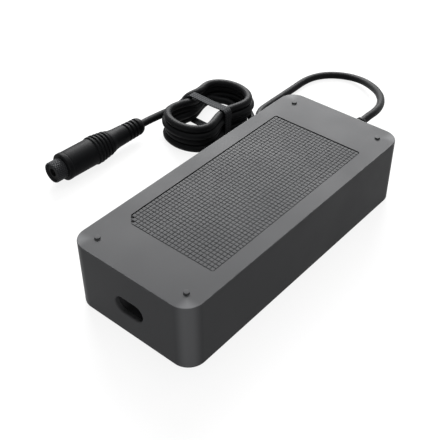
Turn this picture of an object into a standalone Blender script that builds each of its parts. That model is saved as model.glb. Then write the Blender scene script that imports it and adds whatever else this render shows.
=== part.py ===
"""Electric scooter charger: a slim brick with a textured top, a two-pin mains inlet and a tied output lead.

The brick stands on its base plate, centred on the origin, long axis along Y. The mains inlet is in the -Y
end wall. The output lead leaves the +Y end wall, runs round beside the brick on its -X side, through a tied
hank, and ends in a round moulded connector. Lengths are in metres.
"""
import math

import bmesh
import bpy
from mathutils import Matrix, Vector

# Housing shell
HOUSING_LENGTH = 0.1617
HOUSING_WIDTH = 0.0700
HOUSING_HEIGHT = 0.0358
HOUSING_CORNER_RADIUS = 0.0090
HOUSING_EDGE_ROUNDING = 0.0005
WALL_THICKNESS = 0.0024
ROOF_THICKNESS = 0.0040

# Room left between pieces that touch
FIT_GAP = 0.0003

# Four raised pips, on the centres of the corner arcs
PIP_DIAMETER = 0.0027
PIP_HEIGHT = 0.0011
PIP_ROUNDING = 0.0003

# Textured panel: a pad of small pyramids in a shallow recess
NUB_PITCH = 0.00204
NUB_COLUMNS = 25
NUB_ROWS = 54
NUB_HEIGHT = 0.0007
NUB_SINK = 0.0002
PANEL_MARGIN = 0.0007
PANEL_BASE_THICKNESS = 0.0008
RECESS_CORNER_RADIUS = 0.0012
CUT_CORNER_NUBS = 2

# Base plate and its screws
BASE_THICKNESS = 0.0026
BOSS_DIAMETER = 0.0074
SCREW_DIAMETER = 0.0030
SCREW_LENGTH = 0.0120
SCREW_HEAD_DIAMETER = 0.0056
SCREW_HEAD_DEPTH = 0.0016
SCREW_SLOT_WIDTH = 0.0008
SCREW_SLOT_DEPTH = 0.0006

# Mains inlet, its level as a share of the housing's height
INLET_LEVEL = 0.444
INLET_OPENING_WIDTH = 0.0164
INLET_OPENING_HEIGHT = 0.0088
INLET_FLARE = 0.0006
INLET_CAVITY_DEPTH = 0.0105
INLET_BODY_WIDTH = 0.0240
INLET_BODY_HEIGHT = 0.0136
INLET_BACK_THICKNESS = 0.0026
INLET_PIN_SPACING = 0.0086
INLET_PIN_DIAMETER = 0.0024
INLET_PIN_SETBACK = 0.0040
INLET_TAB_LENGTH = 0.0050

# The pin's tab and rounded tip, as shares of the pin's radius
INLET_TAB_WIDTH = 0.6
INLET_TIP_WIDTH = 0.6
INLET_TIP_LENGTH = 0.7

# Cord and its boot, the exit's level as a share of the housing's height
CORD_DIAMETER = 0.0045
EXIT_LEVEL = 0.570
BOOT_LENGTH = 0.0240
BOOT_ROOT_DIAMETER = 0.0092
BOOT_TIP_DIAMETER = 0.0064
BOOT_FLANGE_DIAMETER = 0.0124
BOOT_FLANGE_THICKNESS = 0.0016
BOOT_RINGS = 5
BOOT_RING_DEPTH = 0.0005

# Where a boot ring's crest ends, and where its groove starts and ends, as shares of the rings' pitch
BOOT_RING_SHARES = (0.45, 0.60, 0.90)

# Status lamp's lens, beside the boot
LAMP_DIAMETER = 0.0030
LAMP_X = 0.0200
LAMP_RIM = 0.0004
LAMP_RIM_THICKNESS = 0.0011

# Hank: four turns in a stack round a waisted loop
HANK_CENTRE = (-0.0814, 0.0651)
HANK_TURNS = 4
HANK_BOTTOM = 0.0011
HANK_LENGTH_WAVES = (0.02588, 0.00137)
HANK_WIDTH_WAVES = (0.01700, 0.00290, -0.00095, 0.00045)
HANK_OUTLINE_POINTS = 56
HANK_SEARCH_POINTS = 400
LEAD_MEETING_ANGLE = math.radians(148)
PLUG_MEETING_ANGLE = math.radians(217)

# Spacing of the free stretches' points, in cord diameters
LEAD_SPACING = 2.0
PLUG_LEAD_SPACING = 0.7

# Tie strap round the hank's waist
STRAP_WIDTH = 0.0058
STRAP_THICKNESS = 0.0007
STRAP_CORNER_RADIUS = 0.0016

# Connector. The shares say where a ring's crest ends and its groove starts and ends, and where a neck
# groove is deepest and ends, as parts of the pitch.
PLUG_AXIS_HEIGHT = 0.00825
PLUG_FACE = (-0.1086, -0.0317)
PLUG_TAIL = (-0.1053, 0.0327)
NOSE_DIAMETER = 0.0118
NOSE_LENGTH = 0.0067
NOSE_BORE = 0.0098
GRIP_LIP_DIAMETER = 0.0158
GRIP_LIP_LENGTH = 0.0028
GRIP_LIP_ROUNDING = 0.0009
GRIP_DIAMETER = 0.0155
GRIP_RING_DIAMETER = 0.0165
GRIP_RINGS = 5
GRIP_RING_PITCH = 0.0021
GRIP_RING_FALL = 0.0002
GRIP_RING_DEPTH = 0.0007
GRIP_RING_SHARES = (0.60, 0.75, 0.98)
GRIP_BARREL_LENGTH = 0.0207
NECK_DIAMETER = 0.0112
NECK_TIP_DIAMETER = 0.0101
NECK_GROOVES = 4
NECK_GROOVE_PITCH = 0.0023
NECK_GROOVE_DEPTH = 0.0007
NECK_GROOVE_SHARES = (0.25, 0.50)
NECK_END_ROUNDING = 0.0014
CONTACT_DIAMETER = 0.0040
CONTACT_BORE = 0.0020
CONTACT_BORE_DEPTH = 0.0040
FACE_SETBACK = 0.0008

# Circuit board: room left round it, posts, pins and holes
BOARD_SIDE_CLEARANCE = 0.0046
BOARD_INLET_CLEARANCE = 0.0040
BOARD_BOSS_CLEARANCE = 0.0030
BOARD_THICKNESS = 0.0016
BOARD_POST_HEIGHT = 0.0036
BOARD_POST_DIAMETER = 0.0060
BOARD_PIN_DIAMETER = 0.0026
BOARD_HOLE_DIAMETER = 0.0034
BOARD_HOLE_INSET = 0.0045
SHEET_THICKNESS = 0.0004

# The board's parts are laid out in cells: 5 across, 11 along, and 2 high up to the roof
CELLS = (5, 11, 2)

# Boxes on the board, in cells: material, middle (x, y), size (x, y, z)
BOARD_BLOCKS = {
    "film_capacitor": ("film", (1.25, -3.80), (1.61, 0.74, 1.28)),
    "bridge_rectifier": ("epoxy", (-1.25, -2.75), (1.61, 0.39, 1.20)),
    "primary_heat_sink": ("aluminium", (-2.23, -0.44), (0.18, 3.14, 1.71)),
    "secondary_heat_sink": ("aluminium", (2.23, 2.71), (0.18, 2.97, 1.71)),
    "optocoupler": ("epoxy", (0.18, 3.14), (0.57, 0.40, 0.30)),
    "control_chip": ("epoxy", (1.52, -0.48), (0.45, 0.35, 0.14)),
}

# Transistors clamped to a heat sink, in cells: the sink, its side (1 or -1), place along it, size
SINK_PARTS = {
    "switch_transistor": ("primary_heat_sink", 1, -0.87, (0.40, 0.87, 1.37)),
    "output_rectifier": ("secondary_heat_sink", -1, 2.45, (0.40, 0.87, 1.37)),
}

# Upright capacitors, in cells: middle (x, y), diameter, height
BOARD_CANS = {
    "output_capacitor_1": ((-1.07, 4.10), 1.10, 1.70),
    "output_capacitor_2": ((0.27, 4.10), 1.10, 1.70),
}

# The bulk capacitor, lying across the board, in cells
BULK_CAPACITOR_PLACE = (0.71, -1.62)
BULK_CAPACITOR_DIAMETER = 1.60
BULK_CAPACITOR_LENGTH = 2.68

# Rounding of a capacitor's edges and the height of its groove, as shares of its radius
CAN_ROUNDING = 0.08
CAN_GROOVE_HEIGHT = 0.30

# Ring-shaped windings, in cells: middle (x, y), outer diameter, inner diameter, height
BOARD_RINGS = {
    "filter_choke_winding": ((-1.25, -3.93), 1.70, 0.71, 0.77),
    "output_choke": ((-1.34, 2.71), 1.25, 0.54, 0.60),
}

# Rounding of a ring's section, and the choke's divider, as shares of the ring's own sizes
RING_ROUNDING = 0.32
DIVIDER_WIDTH = 0.85
DIVIDER_THICKNESS = 0.20
DIVIDER_HEIGHT = 1.22

# Mains fuse, in cells, and its caps as shares of its length and radius
FUSE_PLACE = (1.16, -4.63)
FUSE_LENGTH = 1.78
FUSE_DIAMETER = 0.46
FUSE_CAP_LENGTH = 0.25
FUSE_CAP_STEP = 0.15

# Safety capacitor, in cells
SAFETY_CAPACITOR_PLACE = (1.83, 0.44)
SAFETY_CAPACITOR_DIAMETER = 0.80
SAFETY_CAPACITOR_THICKNESS = 0.35

# Its face's radius and level, and its rim's level, as shares of its radius and half thickness
SAFETY_CAPACITOR_FACE = (0.7, 0.9)
SAFETY_CAPACITOR_RIM = 0.4

# Transformer, in cells
TRANSFORMER_PLACE = (0.0, 0.96)
CORE_SIZE = (2.50, 1.22, 1.79)
CORE_LEG = 0.40
CORE_MIDDLE_LEG = 0.62
WINDING_OVERHANG = 0.39
WINDING_CORNER = 0.30

# Wires inside the housing, and how far in from the board's ends they land, in cells
WIRE_DIAMETER = 0.0018
OUTPUT_WIRE_SPACING = 0.0028
INLET_WIRE_LANDING = 0.46
OUTPUT_WIRE_LANDING = 0.30

# How far a bend's middle point lies from its corner, as a share of the bend
WIRE_BEND_SHARE = 0.3

# Segments of a plain round piece
ROUND_STEPS = 24

# Flat outlines are drawn this many times larger, because small ones fill badly
DRAWING_SCALE = 1000

PARTS = "electric_scooter_charger"
CUTTERS = "electric_scooter_charger_cutters"


def clear_scene():
    """Removes every object of the open file."""
    for item in list(bpy.data.objects):
        bpy.data.objects.remove(item, do_unlink=True)


def collection(name):
    """Returns the collection of that name, made if it isn't there."""
    found = bpy.data.collections.get(name)
    if found is None:
        found = bpy.data.collections.new(name)
        bpy.context.scene.collection.children.link(found)
    return found


def material(name, colour, roughness, metallic=0.0):
    """Makes one Principled material."""
    made = bpy.data.materials.new(name)
    made.use_nodes = True
    shader = made.node_tree.nodes["Principled BSDF"]
    shader.inputs["Base Color"].default_value = (*colour, 1.0)
    shader.inputs["Roughness"].default_value = roughness
    shader.inputs["Metallic"].default_value = metallic
    made.diffuse_color = (*colour, 1.0)
    return made


def add(data, name, look=None, place=None, cutter=False):
    """Puts mesh or curve data in the scene as one object."""
    made = bpy.data.objects.new(name, data)
    collection(CUTTERS if cutter else PARTS).objects.link(made)
    if place is not None:
        made.matrix_world = place
    if look is not None:
        data.materials.append(look)
    if cutter:
        made.hide_render = True
        made.display_type = "WIRE"
    return made


def mesh_object(bm, name, look=None, place=None, cutter=False):
    """Turns a bmesh into an object, shaded smooth with sharp corners kept."""
    bmesh.ops.recalc_face_normals(bm, faces=bm.faces)
    data = bpy.data.meshes.new(name)
    bm.to_mesh(data)
    bm.free()
    data.shade_smooth()
    data.set_sharp_from_angle(angle=math.radians(32))
    return add(data, name, look, place, cutter)


def block_mesh(size, centre=(0, 0, 0), corner=0.0, steps=6, rim=0.0):
    """A box, with its upright edges rounded to the corner radius and its rims to the rim radius."""
    bm = bmesh.new()
    bmesh.ops.create_cube(bm, size=1.0)
    bmesh.ops.scale(bm, vec=size, verts=bm.verts)
    if corner > 0:
        upright = [e for e in bm.edges if abs(e.verts[0].co.z - e.verts[1].co.z) > size[2] / 2]
        bmesh.ops.bevel(bm, geom=upright, offset=corner, segments=steps, profile=0.5, affect="EDGES")
    if rim > 0:
        flat = [e for e in bm.edges if abs(e.verts[0].co.z - e.verts[1].co.z) < size[2] / 2
                and len({f.normal.z > 0.5 for f in e.link_faces}) == 2]
        bmesh.ops.bevel(bm, geom=flat, offset=rim, segments=2, profile=0.5, affect="EDGES")
    bmesh.ops.translate(bm, vec=centre, verts=bm.verts)
    return bm


def block(name, size, centre, look=None, corner=0.0, steps=4, rim=0.0, cutter=False):
    """A box object standing on its own place."""
    return mesh_object(block_mesh(size, (0, 0, 0), corner, steps, rim), name, look,
                       Matrix.Translation(Vector(centre)), cutter)


def rod(name, diameter, length, centre, axis="Z", look=None, steps=ROUND_STEPS, cutter=False):
    """A plain cylinder along one axis."""
    bm = bmesh.new()
    bmesh.ops.create_cone(bm, cap_ends=True, segments=steps, radius1=diameter / 2, radius2=diameter / 2,
                          depth=length)
    return mesh_object(bm, name, look, Matrix.Translation(Vector(centre)) @ turn_to(axis), cutter)


def turn_to(axis):
    """Rotation that lays the Z axis along X, along Y, or leaves it."""
    turns = {"X": Matrix.Rotation(math.pi / 2, 4, "Y"), "Y": Matrix.Rotation(-math.pi / 2, 4, "X"),
             "-Y": Matrix.Rotation(math.pi / 2, 4, "X"), "Z": Matrix.Identity(4)}
    return turns[axis]


def turned(name, profile, place, look=None, steps=ROUND_STEPS, cutter=False):
    """A profile of (radius, height) points, from the top down, turned round the Z axis."""
    data = bpy.data.meshes.new(name)
    bm = bmesh.new()
    dots = [bm.verts.new((radius, 0.0, height)) for radius, height in profile]
    for first, second in zip(dots, dots[1:]):
        bm.edges.new((first, second))
    bm.to_mesh(data)
    bm.free()
    made = add(data, name, look, place, cutter)
    screw = made.modifiers.new("Turn", "SCREW")
    screw.axis = "Z"
    screw.steps = steps
    screw.render_steps = steps
    screw.use_merge_vertices = True
    screw.merge_threshold = 0.00002
    screw.use_smooth_shade = True
    return made


def outline(name, loops, thickness, place, look=None, cutter=False):
    """A flat outline of closed loops of (x, y) points, filled and given a thickness about its plane."""
    data = bpy.data.curves.new(name, "CURVE")
    data.dimensions = "2D"
    data.fill_mode = "BOTH"
    data.extrude = thickness / 2 * DRAWING_SCALE
    for points in loops:
        spline = data.splines.new("POLY")
        spline.points.add(len(points) - 1)
        for dot, (x, y) in zip(spline.points, points):
            dot.co = (x * DRAWING_SCALE, y * DRAWING_SCALE, 0.0, 1.0)
        spline.use_cyclic_u = True
    return add(data, name, look, place @ Matrix.Scale(1 / DRAWING_SCALE, 4), cutter)


def tube(name, points, diameter, look, resolution=2):
    """A round tube along a line of points, with closed ends."""
    data = bpy.data.curves.new(name, "CURVE")
    data.dimensions = "3D"
    data.bevel_depth = diameter / 2
    data.bevel_resolution = resolution
    data.use_fill_caps = True
    spline = data.splines.new("POLY")
    spline.points.add(len(points) - 1)
    for dot, point in zip(spline.points, points):
        dot.co = (*point, 1.0)
    return add(data, name, look)


def smooth_line(points, spacing):
    """Points at an even spacing on a smooth curve through the given points."""
    dots = [Vector(point) for point in points]
    before = dots[0] * 2 - dots[1]
    after = dots[-1] * 2 - dots[-2]
    chain = [before] + dots + [after]
    fine = []
    for p0, p1, p2, p3 in zip(chain, chain[1:], chain[2:], chain[3:]):
        for step in range(12):
            t = step / 12
            fine.append(0.5 * (2 * p1 + (p2 - p0) * t + (2 * p0 - 5 * p1 + 4 * p2 - p3) * t ** 2
                               + (3 * p1 - p0 - 3 * p2 + p3) * t ** 3))
    fine.append(dots[-1])
    lengths = [0.0]
    for first, second in zip(fine, fine[1:]):
        lengths.append(lengths[-1] + (second - first).length)
    count = max(2, round(lengths[-1] / spacing))
    even, index = [], 0
    for number in range(count + 1):
        target = lengths[-1] * number / count
        while index < len(lengths) - 2 and lengths[index + 1] < target:
            index += 1
        span = lengths[index + 1] - lengths[index]
        share = 0.0 if span == 0 else (target - lengths[index]) / span
        even.append(fine[index].lerp(fine[index + 1], share))
    return even


def boolean(target, tool, operation):
    """Adds an exact Boolean of the tool to the target."""
    step = target.modifiers.new(tool.name, "BOOLEAN")
    step.operation = operation
    step.solver = "EXACT"
    step.object = tool
    return step


def cut(target, *tools):
    """Cuts the tools out of the target."""
    for tool in tools:
        boolean(target, tool, "DIFFERENCE")


def join(target, *tools):
    """Joins the tools to the target."""
    for tool in tools:
        boolean(target, tool, "UNION")


def looks():
    """Makes the materials, each under its short name."""
    return {
        "shell": material("charger_shell", (0.060, 0.061, 0.063), 0.48),
        "panel": material("panel_rubber", (0.050, 0.051, 0.053), 0.60),
        "base": material("base_plastic", (0.040, 0.041, 0.043), 0.55),
        "inlet": material("inlet_plastic", (0.012, 0.012, 0.013), 0.50),
        "pin": material("pin_nickel", (0.62, 0.60, 0.56), 0.25, 1.0),
        "screw": material("screw_steel", (0.30, 0.30, 0.31), 0.35, 1.0),
        "cord": material("cord_rubber", (0.014, 0.014, 0.015), 0.55),
        "boot": material("boot_rubber", (0.016, 0.016, 0.017), 0.60),
        "strap": material("strap_fabric", (0.030, 0.030, 0.032), 0.80),
        "grip": material("grip_plastic", (0.013, 0.013, 0.014), 0.42),
        "sleeve": material("sleeve_plastic", (0.018, 0.018, 0.019), 0.45),
        "insulator": material("insulator_plastic", (0.008, 0.008, 0.009), 0.50),
        "lens": material("lamp_lens", (0.55, 0.60, 0.55), 0.20),
        "board": material("board_laminate", (0.020, 0.110, 0.045), 0.50),
        "ceramic": material("fuse_ceramic", (0.72, 0.70, 0.64), 0.40),
        "copper": material("winding_copper", (0.55, 0.22, 0.09), 0.35, 1.0),
        "ferrite": material("core_ferrite", (0.035, 0.035, 0.038), 0.65),
        "film": material("capacitor_film", (0.55, 0.40, 0.06), 0.45),
        "can": material("capacitor_sleeve", (0.020, 0.025, 0.060), 0.35),
        "disc": material("capacitor_disc", (0.05, 0.14, 0.36), 0.45),
        "epoxy": material("component_epoxy", (0.018, 0.018, 0.019), 0.50),
        "aluminium": material("sink_aluminium", (0.62, 0.63, 0.64), 0.40, 1.0),
        "tape": material("transformer_tape", (0.62, 0.50, 0.08), 0.45),
        "sheet": material("insulation_sheet", (0.70, 0.70, 0.66), 0.50),
        "live": material("wire_red", (0.45, 0.02, 0.02), 0.45),
        "neutral": material("wire_black", (0.015, 0.015, 0.015), 0.45),
    }


# Places that several pieces share
END_Y = HOUSING_LENGTH / 2
SIDE_X = HOUSING_WIDTH / 2
ARC_X = SIDE_X - HOUSING_CORNER_RADIUS
ARC_Y = END_Y - HOUSING_CORNER_RADIUS
INNER_END_Y = END_Y - WALL_THICKNESS
INLET_HEIGHT = INLET_LEVEL * HOUSING_HEIGHT
EXIT_HEIGHT = EXIT_LEVEL * HOUSING_HEIGHT
INLET_FRONT = FIT_GAP - INNER_END_Y
INLET_BACK = INLET_FRONT + INLET_CAVITY_DEPTH + INLET_BACK_THICKNESS
BOOT_FACE = INNER_END_Y - FIT_GAP - BOOT_FLANGE_THICKNESS
ROOF_UNDERSIDE = HOUSING_HEIGHT - ROOF_THICKNESS
BOARD_START = INLET_BACK + BOARD_INLET_CLEARANCE
BOARD_STOP = ARC_Y - BOSS_DIAMETER / 2 - BOARD_BOSS_CLEARANCE
BOARD_LENGTH = BOARD_STOP - BOARD_START
BOARD_WIDTH = HOUSING_WIDTH - 2 * (WALL_THICKNESS + BOARD_SIDE_CLEARANCE)
BOARD_Y = (BOARD_START + BOARD_STOP) / 2
BOARD_BOTTOM = BASE_THICKNESS + BOARD_POST_HEIGHT + FIT_GAP
BOARD_TOP = BOARD_BOTTOM + BOARD_THICKNESS
SEAT = BOARD_TOP + FIT_GAP
CELL_X = BOARD_WIDTH / CELLS[0]
CELL_Y = BOARD_LENGTH / CELLS[1]
CELL_Z = (ROOF_UNDERSIDE - SEAT) / CELLS[2]
ROUND_CELL = min(CELL_X, CELL_Y, CELL_Z)
PANEL_GROOVE_LEVEL = HOUSING_HEIGHT - NUB_SINK - NUB_HEIGHT
PANEL_FLOOR = PANEL_GROOVE_LEVEL - PANEL_BASE_THICKNESS - FIT_GAP
PANEL_WIDTH = NUB_COLUMNS * NUB_PITCH
PANEL_LENGTH = NUB_ROWS * NUB_PITCH


def corner_places():
    """The centres of the four corner arcs."""
    return [(x, y) for y in (-ARC_Y, ARC_Y) for x in (-ARC_X, ARC_X)]


def capsule(name, width, height, depth, centre, flare=0.0, cutter=True):
    """A pill-shaped prism along Y, its -Y end widened all round by the flare."""
    bm = block_mesh((width, height, depth), (0, 0, 0), height / 2 - 0.00001, 8)
    lobe = (width - height) / 2
    for vert in bm.verts:
        if flare > 0 and vert.co.z > 0:
            spine = Vector((max(-lobe, min(lobe, vert.co.x)), 0, vert.co.z))
            vert.co += (vert.co - spine).normalized() * flare
    return mesh_object(bm, name, None, Matrix.Translation(Vector(centre)) @ turn_to("-Y"), cutter)


def build_housing(look):
    """The shell: walls and roof, panel recess, pips, screw bosses, and the openings in its end walls."""
    housing = mesh_object(block_mesh((HOUSING_WIDTH, HOUSING_LENGTH, HOUSING_HEIGHT),
                                     (0, 0, HOUSING_HEIGHT / 2), HOUSING_CORNER_RADIUS, 8,
                                     HOUSING_EDGE_ROUNDING), "housing", look)
    inside = block("cut_inside", (HOUSING_WIDTH - 2 * WALL_THICKNESS, HOUSING_LENGTH - 2 * WALL_THICKNESS,
                                  2 * ROOF_UNDERSIDE), (0, 0, 0), None,
                   HOUSING_CORNER_RADIUS - WALL_THICKNESS, 6, cutter=True)
    cut(housing, inside)
    boss_bottom = BASE_THICKNESS + FIT_GAP
    boss_top = ROOF_UNDERSIDE + ROOF_THICKNESS / 3
    for number, (x, y) in enumerate(corner_places(), 1):
        join(housing, rod(f"add_boss_{number}", BOSS_DIAMETER, boss_top - boss_bottom,
                          (x, y, (boss_top + boss_bottom) / 2), steps=16, cutter=True))
        hole_top = BASE_THICKNESS + SCREW_LENGTH
        cut(housing, rod(f"cut_pilot_{number}", SCREW_DIAMETER + 2 * FIT_GAP, hole_top,
                         (x, y, hole_top / 2), steps=12, cutter=True))
    cut(housing, recess_cutter())
    for number, (x, y) in enumerate(corner_places(), 1):
        join(housing, pip(f"add_pip_{number}", x, y))
    cut(housing, capsule("cut_inlet", INLET_OPENING_WIDTH, INLET_OPENING_HEIGHT, 3 * WALL_THICKNESS,
                         (0, -END_Y, INLET_HEIGHT)))
    cut(housing, capsule("cut_inlet_flare", INLET_OPENING_WIDTH, INLET_OPENING_HEIGHT, 2 * INLET_FLARE,
                         (0, -END_Y, INLET_HEIGHT), 2 * INLET_FLARE))
    cut(housing, rod("cut_boot", BOOT_ROOT_DIAMETER + 2 * FIT_GAP, 3 * WALL_THICKNESS,
                     (0, END_Y, EXIT_HEIGHT), "Y", steps=20, cutter=True))
    cut(housing, rod("cut_lamp", LAMP_DIAMETER + 2 * FIT_GAP, 3 * WALL_THICKNESS,
                     (LAMP_X, END_Y, EXIT_HEIGHT), "Y", steps=12, cutter=True))
    return housing


def recess_cutter():
    """The panel's recess: a rectangle with rounded corners and one corner cut off."""
    half_x = PANEL_WIDTH / 2 + PANEL_MARGIN
    half_y = PANEL_LENGTH / 2 + PANEL_MARGIN
    chamfer = CUT_CORNER_NUBS * NUB_PITCH
    radius = RECESS_CORNER_RADIUS
    points = [(-half_x, -half_y + chamfer), (-half_x + chamfer, -half_y)]
    for centre_x, centre_y, start in ((half_x - radius, -half_y + radius, -90),
                                      (half_x - radius, half_y - radius, 0),
                                      (-half_x + radius, half_y - radius, 90)):
        for step in range(5):
            angle = math.radians(start + 90 * step / 4)
            points.append((centre_x + radius * math.cos(angle), centre_y + radius * math.sin(angle)))
    height = 2 * (HOUSING_HEIGHT - PANEL_FLOOR)
    place = Matrix.Translation((0, 0, HOUSING_HEIGHT))
    shape = outline("recess_outline", [points], height, place, None, True)
    return as_mesh(shape, "cut_recess")


def as_mesh(curve, name, look=None, cutter=True):
    """Replaces a curve object by the closed mesh of its shape."""
    bpy.context.view_layer.update()
    graph = bpy.context.evaluated_depsgraph_get()
    data = bpy.data.meshes.new_from_object(curve.evaluated_get(graph))
    data.name = name
    bm = bmesh.new()
    bm.from_mesh(data)
    bmesh.ops.transform(bm, matrix=curve.matrix_world, verts=bm.verts)
    bmesh.ops.remove_doubles(bm, verts=bm.verts, dist=0.000001)
    bmesh.ops.recalc_face_normals(bm, faces=bm.faces)
    bm.to_mesh(data)
    bm.free()
    bpy.data.objects.remove(curve, do_unlink=True)
    return add(data, name, look, None, cutter)


def pip(name, x, y):
    """One raised stud with a rounded top, rooted in the roof."""
    radius = PIP_DIAMETER / 2
    root = -ROOF_THICKNESS / 3
    profile = [(0, PIP_HEIGHT), (radius - PIP_ROUNDING, PIP_HEIGHT),
               (radius - 0.3 * PIP_ROUNDING, PIP_HEIGHT - 0.3 * PIP_ROUNDING),
               (radius, PIP_HEIGHT - PIP_ROUNDING), (radius, root), (0, root)]
    return turned(name, profile, Matrix.Translation((x, y, HOUSING_HEIGHT)), steps=12, cutter=True)


def build_panel(look):
    """The textured pad: a grid whose cells are raised to points, over a plain underside."""
    bm = bmesh.new()
    bmesh.ops.create_grid(bm, x_segments=NUB_COLUMNS, y_segments=NUB_ROWS, size=0.5)
    bmesh.ops.scale(bm, vec=(PANEL_WIDTH, PANEL_LENGTH, 1), verts=bm.verts)
    missing = []
    for face in bm.faces:
        middle = face.calc_center_median()
        column = int((middle.x + PANEL_WIDTH / 2) / NUB_PITCH)
        row = int((middle.y + PANEL_LENGTH / 2) / NUB_PITCH)
        if column + row < CUT_CORNER_NUBS:
            missing.append(face)
    bmesh.ops.delete(bm, geom=missing, context="FACES")
    rim = [edge for edge in bm.edges if edge.is_boundary]
    cells = list(bm.faces)
    skirt = bmesh.ops.extrude_edge_only(bm, edges=rim)["geom"]
    low = [item for item in skirt if isinstance(item, bmesh.types.BMVert)]
    bmesh.ops.translate(bm, vec=(0, 0, -PANEL_BASE_THICKNESS), verts=low)
    bmesh.ops.poke(bm, faces=cells, offset=NUB_HEIGHT)
    border = [edge for edge in bm.edges if edge.is_boundary]
    bmesh.ops.triangle_fill(bm, edges=border, use_beauty=True)
    pad = mesh_object(bm, "texture_panel", look, Matrix.Translation((0, 0, PANEL_GROOVE_LEVEL)))
    return pad


def build_base(look):
    """The base plate, with countersunk screw holes and the board's posts."""
    room = 2 * (WALL_THICKNESS + FIT_GAP)
    base = block("base_plate", (HOUSING_WIDTH - room, HOUSING_LENGTH - room, BASE_THICKNESS),
                 (0, 0, BASE_THICKNESS / 2), look, HOUSING_CORNER_RADIUS - room / 2, 6)
    for number, (x, y) in enumerate(board_holes(), 1):
        post = turned(f"add_post_{number}",
                      [(0, BASE_THICKNESS + BOARD_POST_HEIGHT + BOARD_THICKNESS),
                       (BOARD_PIN_DIAMETER / 2, BASE_THICKNESS + BOARD_POST_HEIGHT + BOARD_THICKNESS),
                       (BOARD_PIN_DIAMETER / 2, BASE_THICKNESS + BOARD_POST_HEIGHT),
                       (BOARD_POST_DIAMETER / 2, BASE_THICKNESS + BOARD_POST_HEIGHT),
                       (BOARD_POST_DIAMETER / 2, BASE_THICKNESS / 2), (0, BASE_THICKNESS / 2)],
                      Matrix.Translation((x, y, 0)), steps=12, cutter=True)
        join(base, post)
    for number, (x, y) in enumerate(corner_places(), 1):
        head = SCREW_HEAD_DIAMETER / 2 + FIT_GAP
        neck = SCREW_DIAMETER / 2 + FIT_GAP
        cone_top = SCREW_HEAD_DEPTH + 2 * FIT_GAP
        sink = turned(f"cut_screw_{number}",
                      [(0, 2 * BASE_THICKNESS), (neck, 2 * BASE_THICKNESS), (neck, cone_top),
                       (head, FIT_GAP), (head, -BASE_THICKNESS), (0, -BASE_THICKNESS)],
                      Matrix.Translation((x, y, 0)), steps=16, cutter=True)
        cut(base, sink)
    return base


def build_screws(look):
    """Four countersunk screws with a straight cross in the head, up into the bosses."""
    for number, (x, y) in enumerate(corner_places(), 1):
        profile = [(0, SCREW_LENGTH), (SCREW_DIAMETER / 2 * 0.5, SCREW_LENGTH),
                   (SCREW_DIAMETER / 2, SCREW_LENGTH - SCREW_DIAMETER / 2),
                   (SCREW_DIAMETER / 2, SCREW_HEAD_DEPTH), (SCREW_HEAD_DIAMETER / 2, 0), (0, 0)]
        screw = turned(f"base_screw_{number}", profile, Matrix.Translation((x, y, FIT_GAP)), look, steps=16)
        for turn in (0, 1):
            size = (SCREW_HEAD_DIAMETER * 0.6, SCREW_SLOT_WIDTH, 2 * SCREW_SLOT_DEPTH)
            slot = block(f"cut_slot_{number}_{turn}", size if turn else (size[1], size[0], size[2]),
                         (x, y, FIT_GAP), cutter=True)
            cut(screw, slot)


def build_inlet(look, pin_look):
    """The inlet body with its pill-shaped cavity, and its two pins with rear tabs."""
    front = INLET_FRONT
    depth = INLET_BACK - front
    body = block("inlet_body", (INLET_BODY_WIDTH, depth, INLET_BODY_HEIGHT),
                 (0, front + depth / 2, INLET_HEIGHT), look)
    cavity = capsule("cut_cavity", INLET_OPENING_WIDTH, INLET_OPENING_HEIGHT, 2 * INLET_CAVITY_DEPTH,
                     (0, front, INLET_HEIGHT))
    cut(body, cavity)
    tip = -END_Y + INLET_PIN_SETBACK
    back = front + depth
    for side, name in ((-1, "left"), (1, "right")):
        x = side * INLET_PIN_SPACING / 2
        cut(body, rod(f"cut_pin_{name}", INLET_PIN_DIAMETER + 2 * FIT_GAP, 4 * INLET_BACK_THICKNESS,
                      (x, back, INLET_HEIGHT), "Y", steps=12, cutter=True))
        length = back - tip + FIT_GAP
        radius = INLET_PIN_DIAMETER / 2
        tab_top = length + INLET_TAB_LENGTH
        tab = radius * INLET_TAB_WIDTH
        profile = [(0, tab_top), (tab, tab_top), (tab, length + radius), (radius, length),
                   (radius, radius * INLET_TIP_LENGTH), (radius * INLET_TIP_WIDTH, 0), (0, 0)]
        turned(f"inlet_pin_{name}", profile,
               Matrix.Translation((x, tip, INLET_HEIGHT)) @ turn_to("Y"), pin_look, steps=14)
    return body


def build_boot(look):
    """The cord's boot: a flange inside the wall, then a ringed taper with the cord's bore left out."""
    start = BOOT_FACE
    root = END_Y - start
    pitch = BOOT_LENGTH / BOOT_RINGS
    crest_end, groove_start, groove_end = BOOT_RING_SHARES
    profile = [(0, root + BOOT_LENGTH)]
    for ring in range(BOOT_RINGS, 0, -1):
        top = root + pitch * ring
        for share, depth in ((0.0, 0.0), (crest_end, 0.0), (groove_start, BOOT_RING_DEPTH),
                             (groove_end, BOOT_RING_DEPTH)):
            height = top - pitch * share
            profile.append((boot_radius((height - root) / BOOT_LENGTH) - depth, height))
    profile += [(BOOT_ROOT_DIAMETER / 2, root), (BOOT_ROOT_DIAMETER / 2, BOOT_FLANGE_THICKNESS),
                (BOOT_FLANGE_DIAMETER / 2, BOOT_FLANGE_THICKNESS), (BOOT_FLANGE_DIAMETER / 2, 0), (0, 0)]
    place = Matrix.Translation((0, start, EXIT_HEIGHT)) @ turn_to("Y")
    return turned("cord_boot", profile, place, look, 16)


def boot_radius(share):
    """The boot's outer radius at a share of its length from the wall."""
    return (BOOT_ROOT_DIAMETER + (BOOT_TIP_DIAMETER - BOOT_ROOT_DIAMETER) * share) / 2


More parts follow.
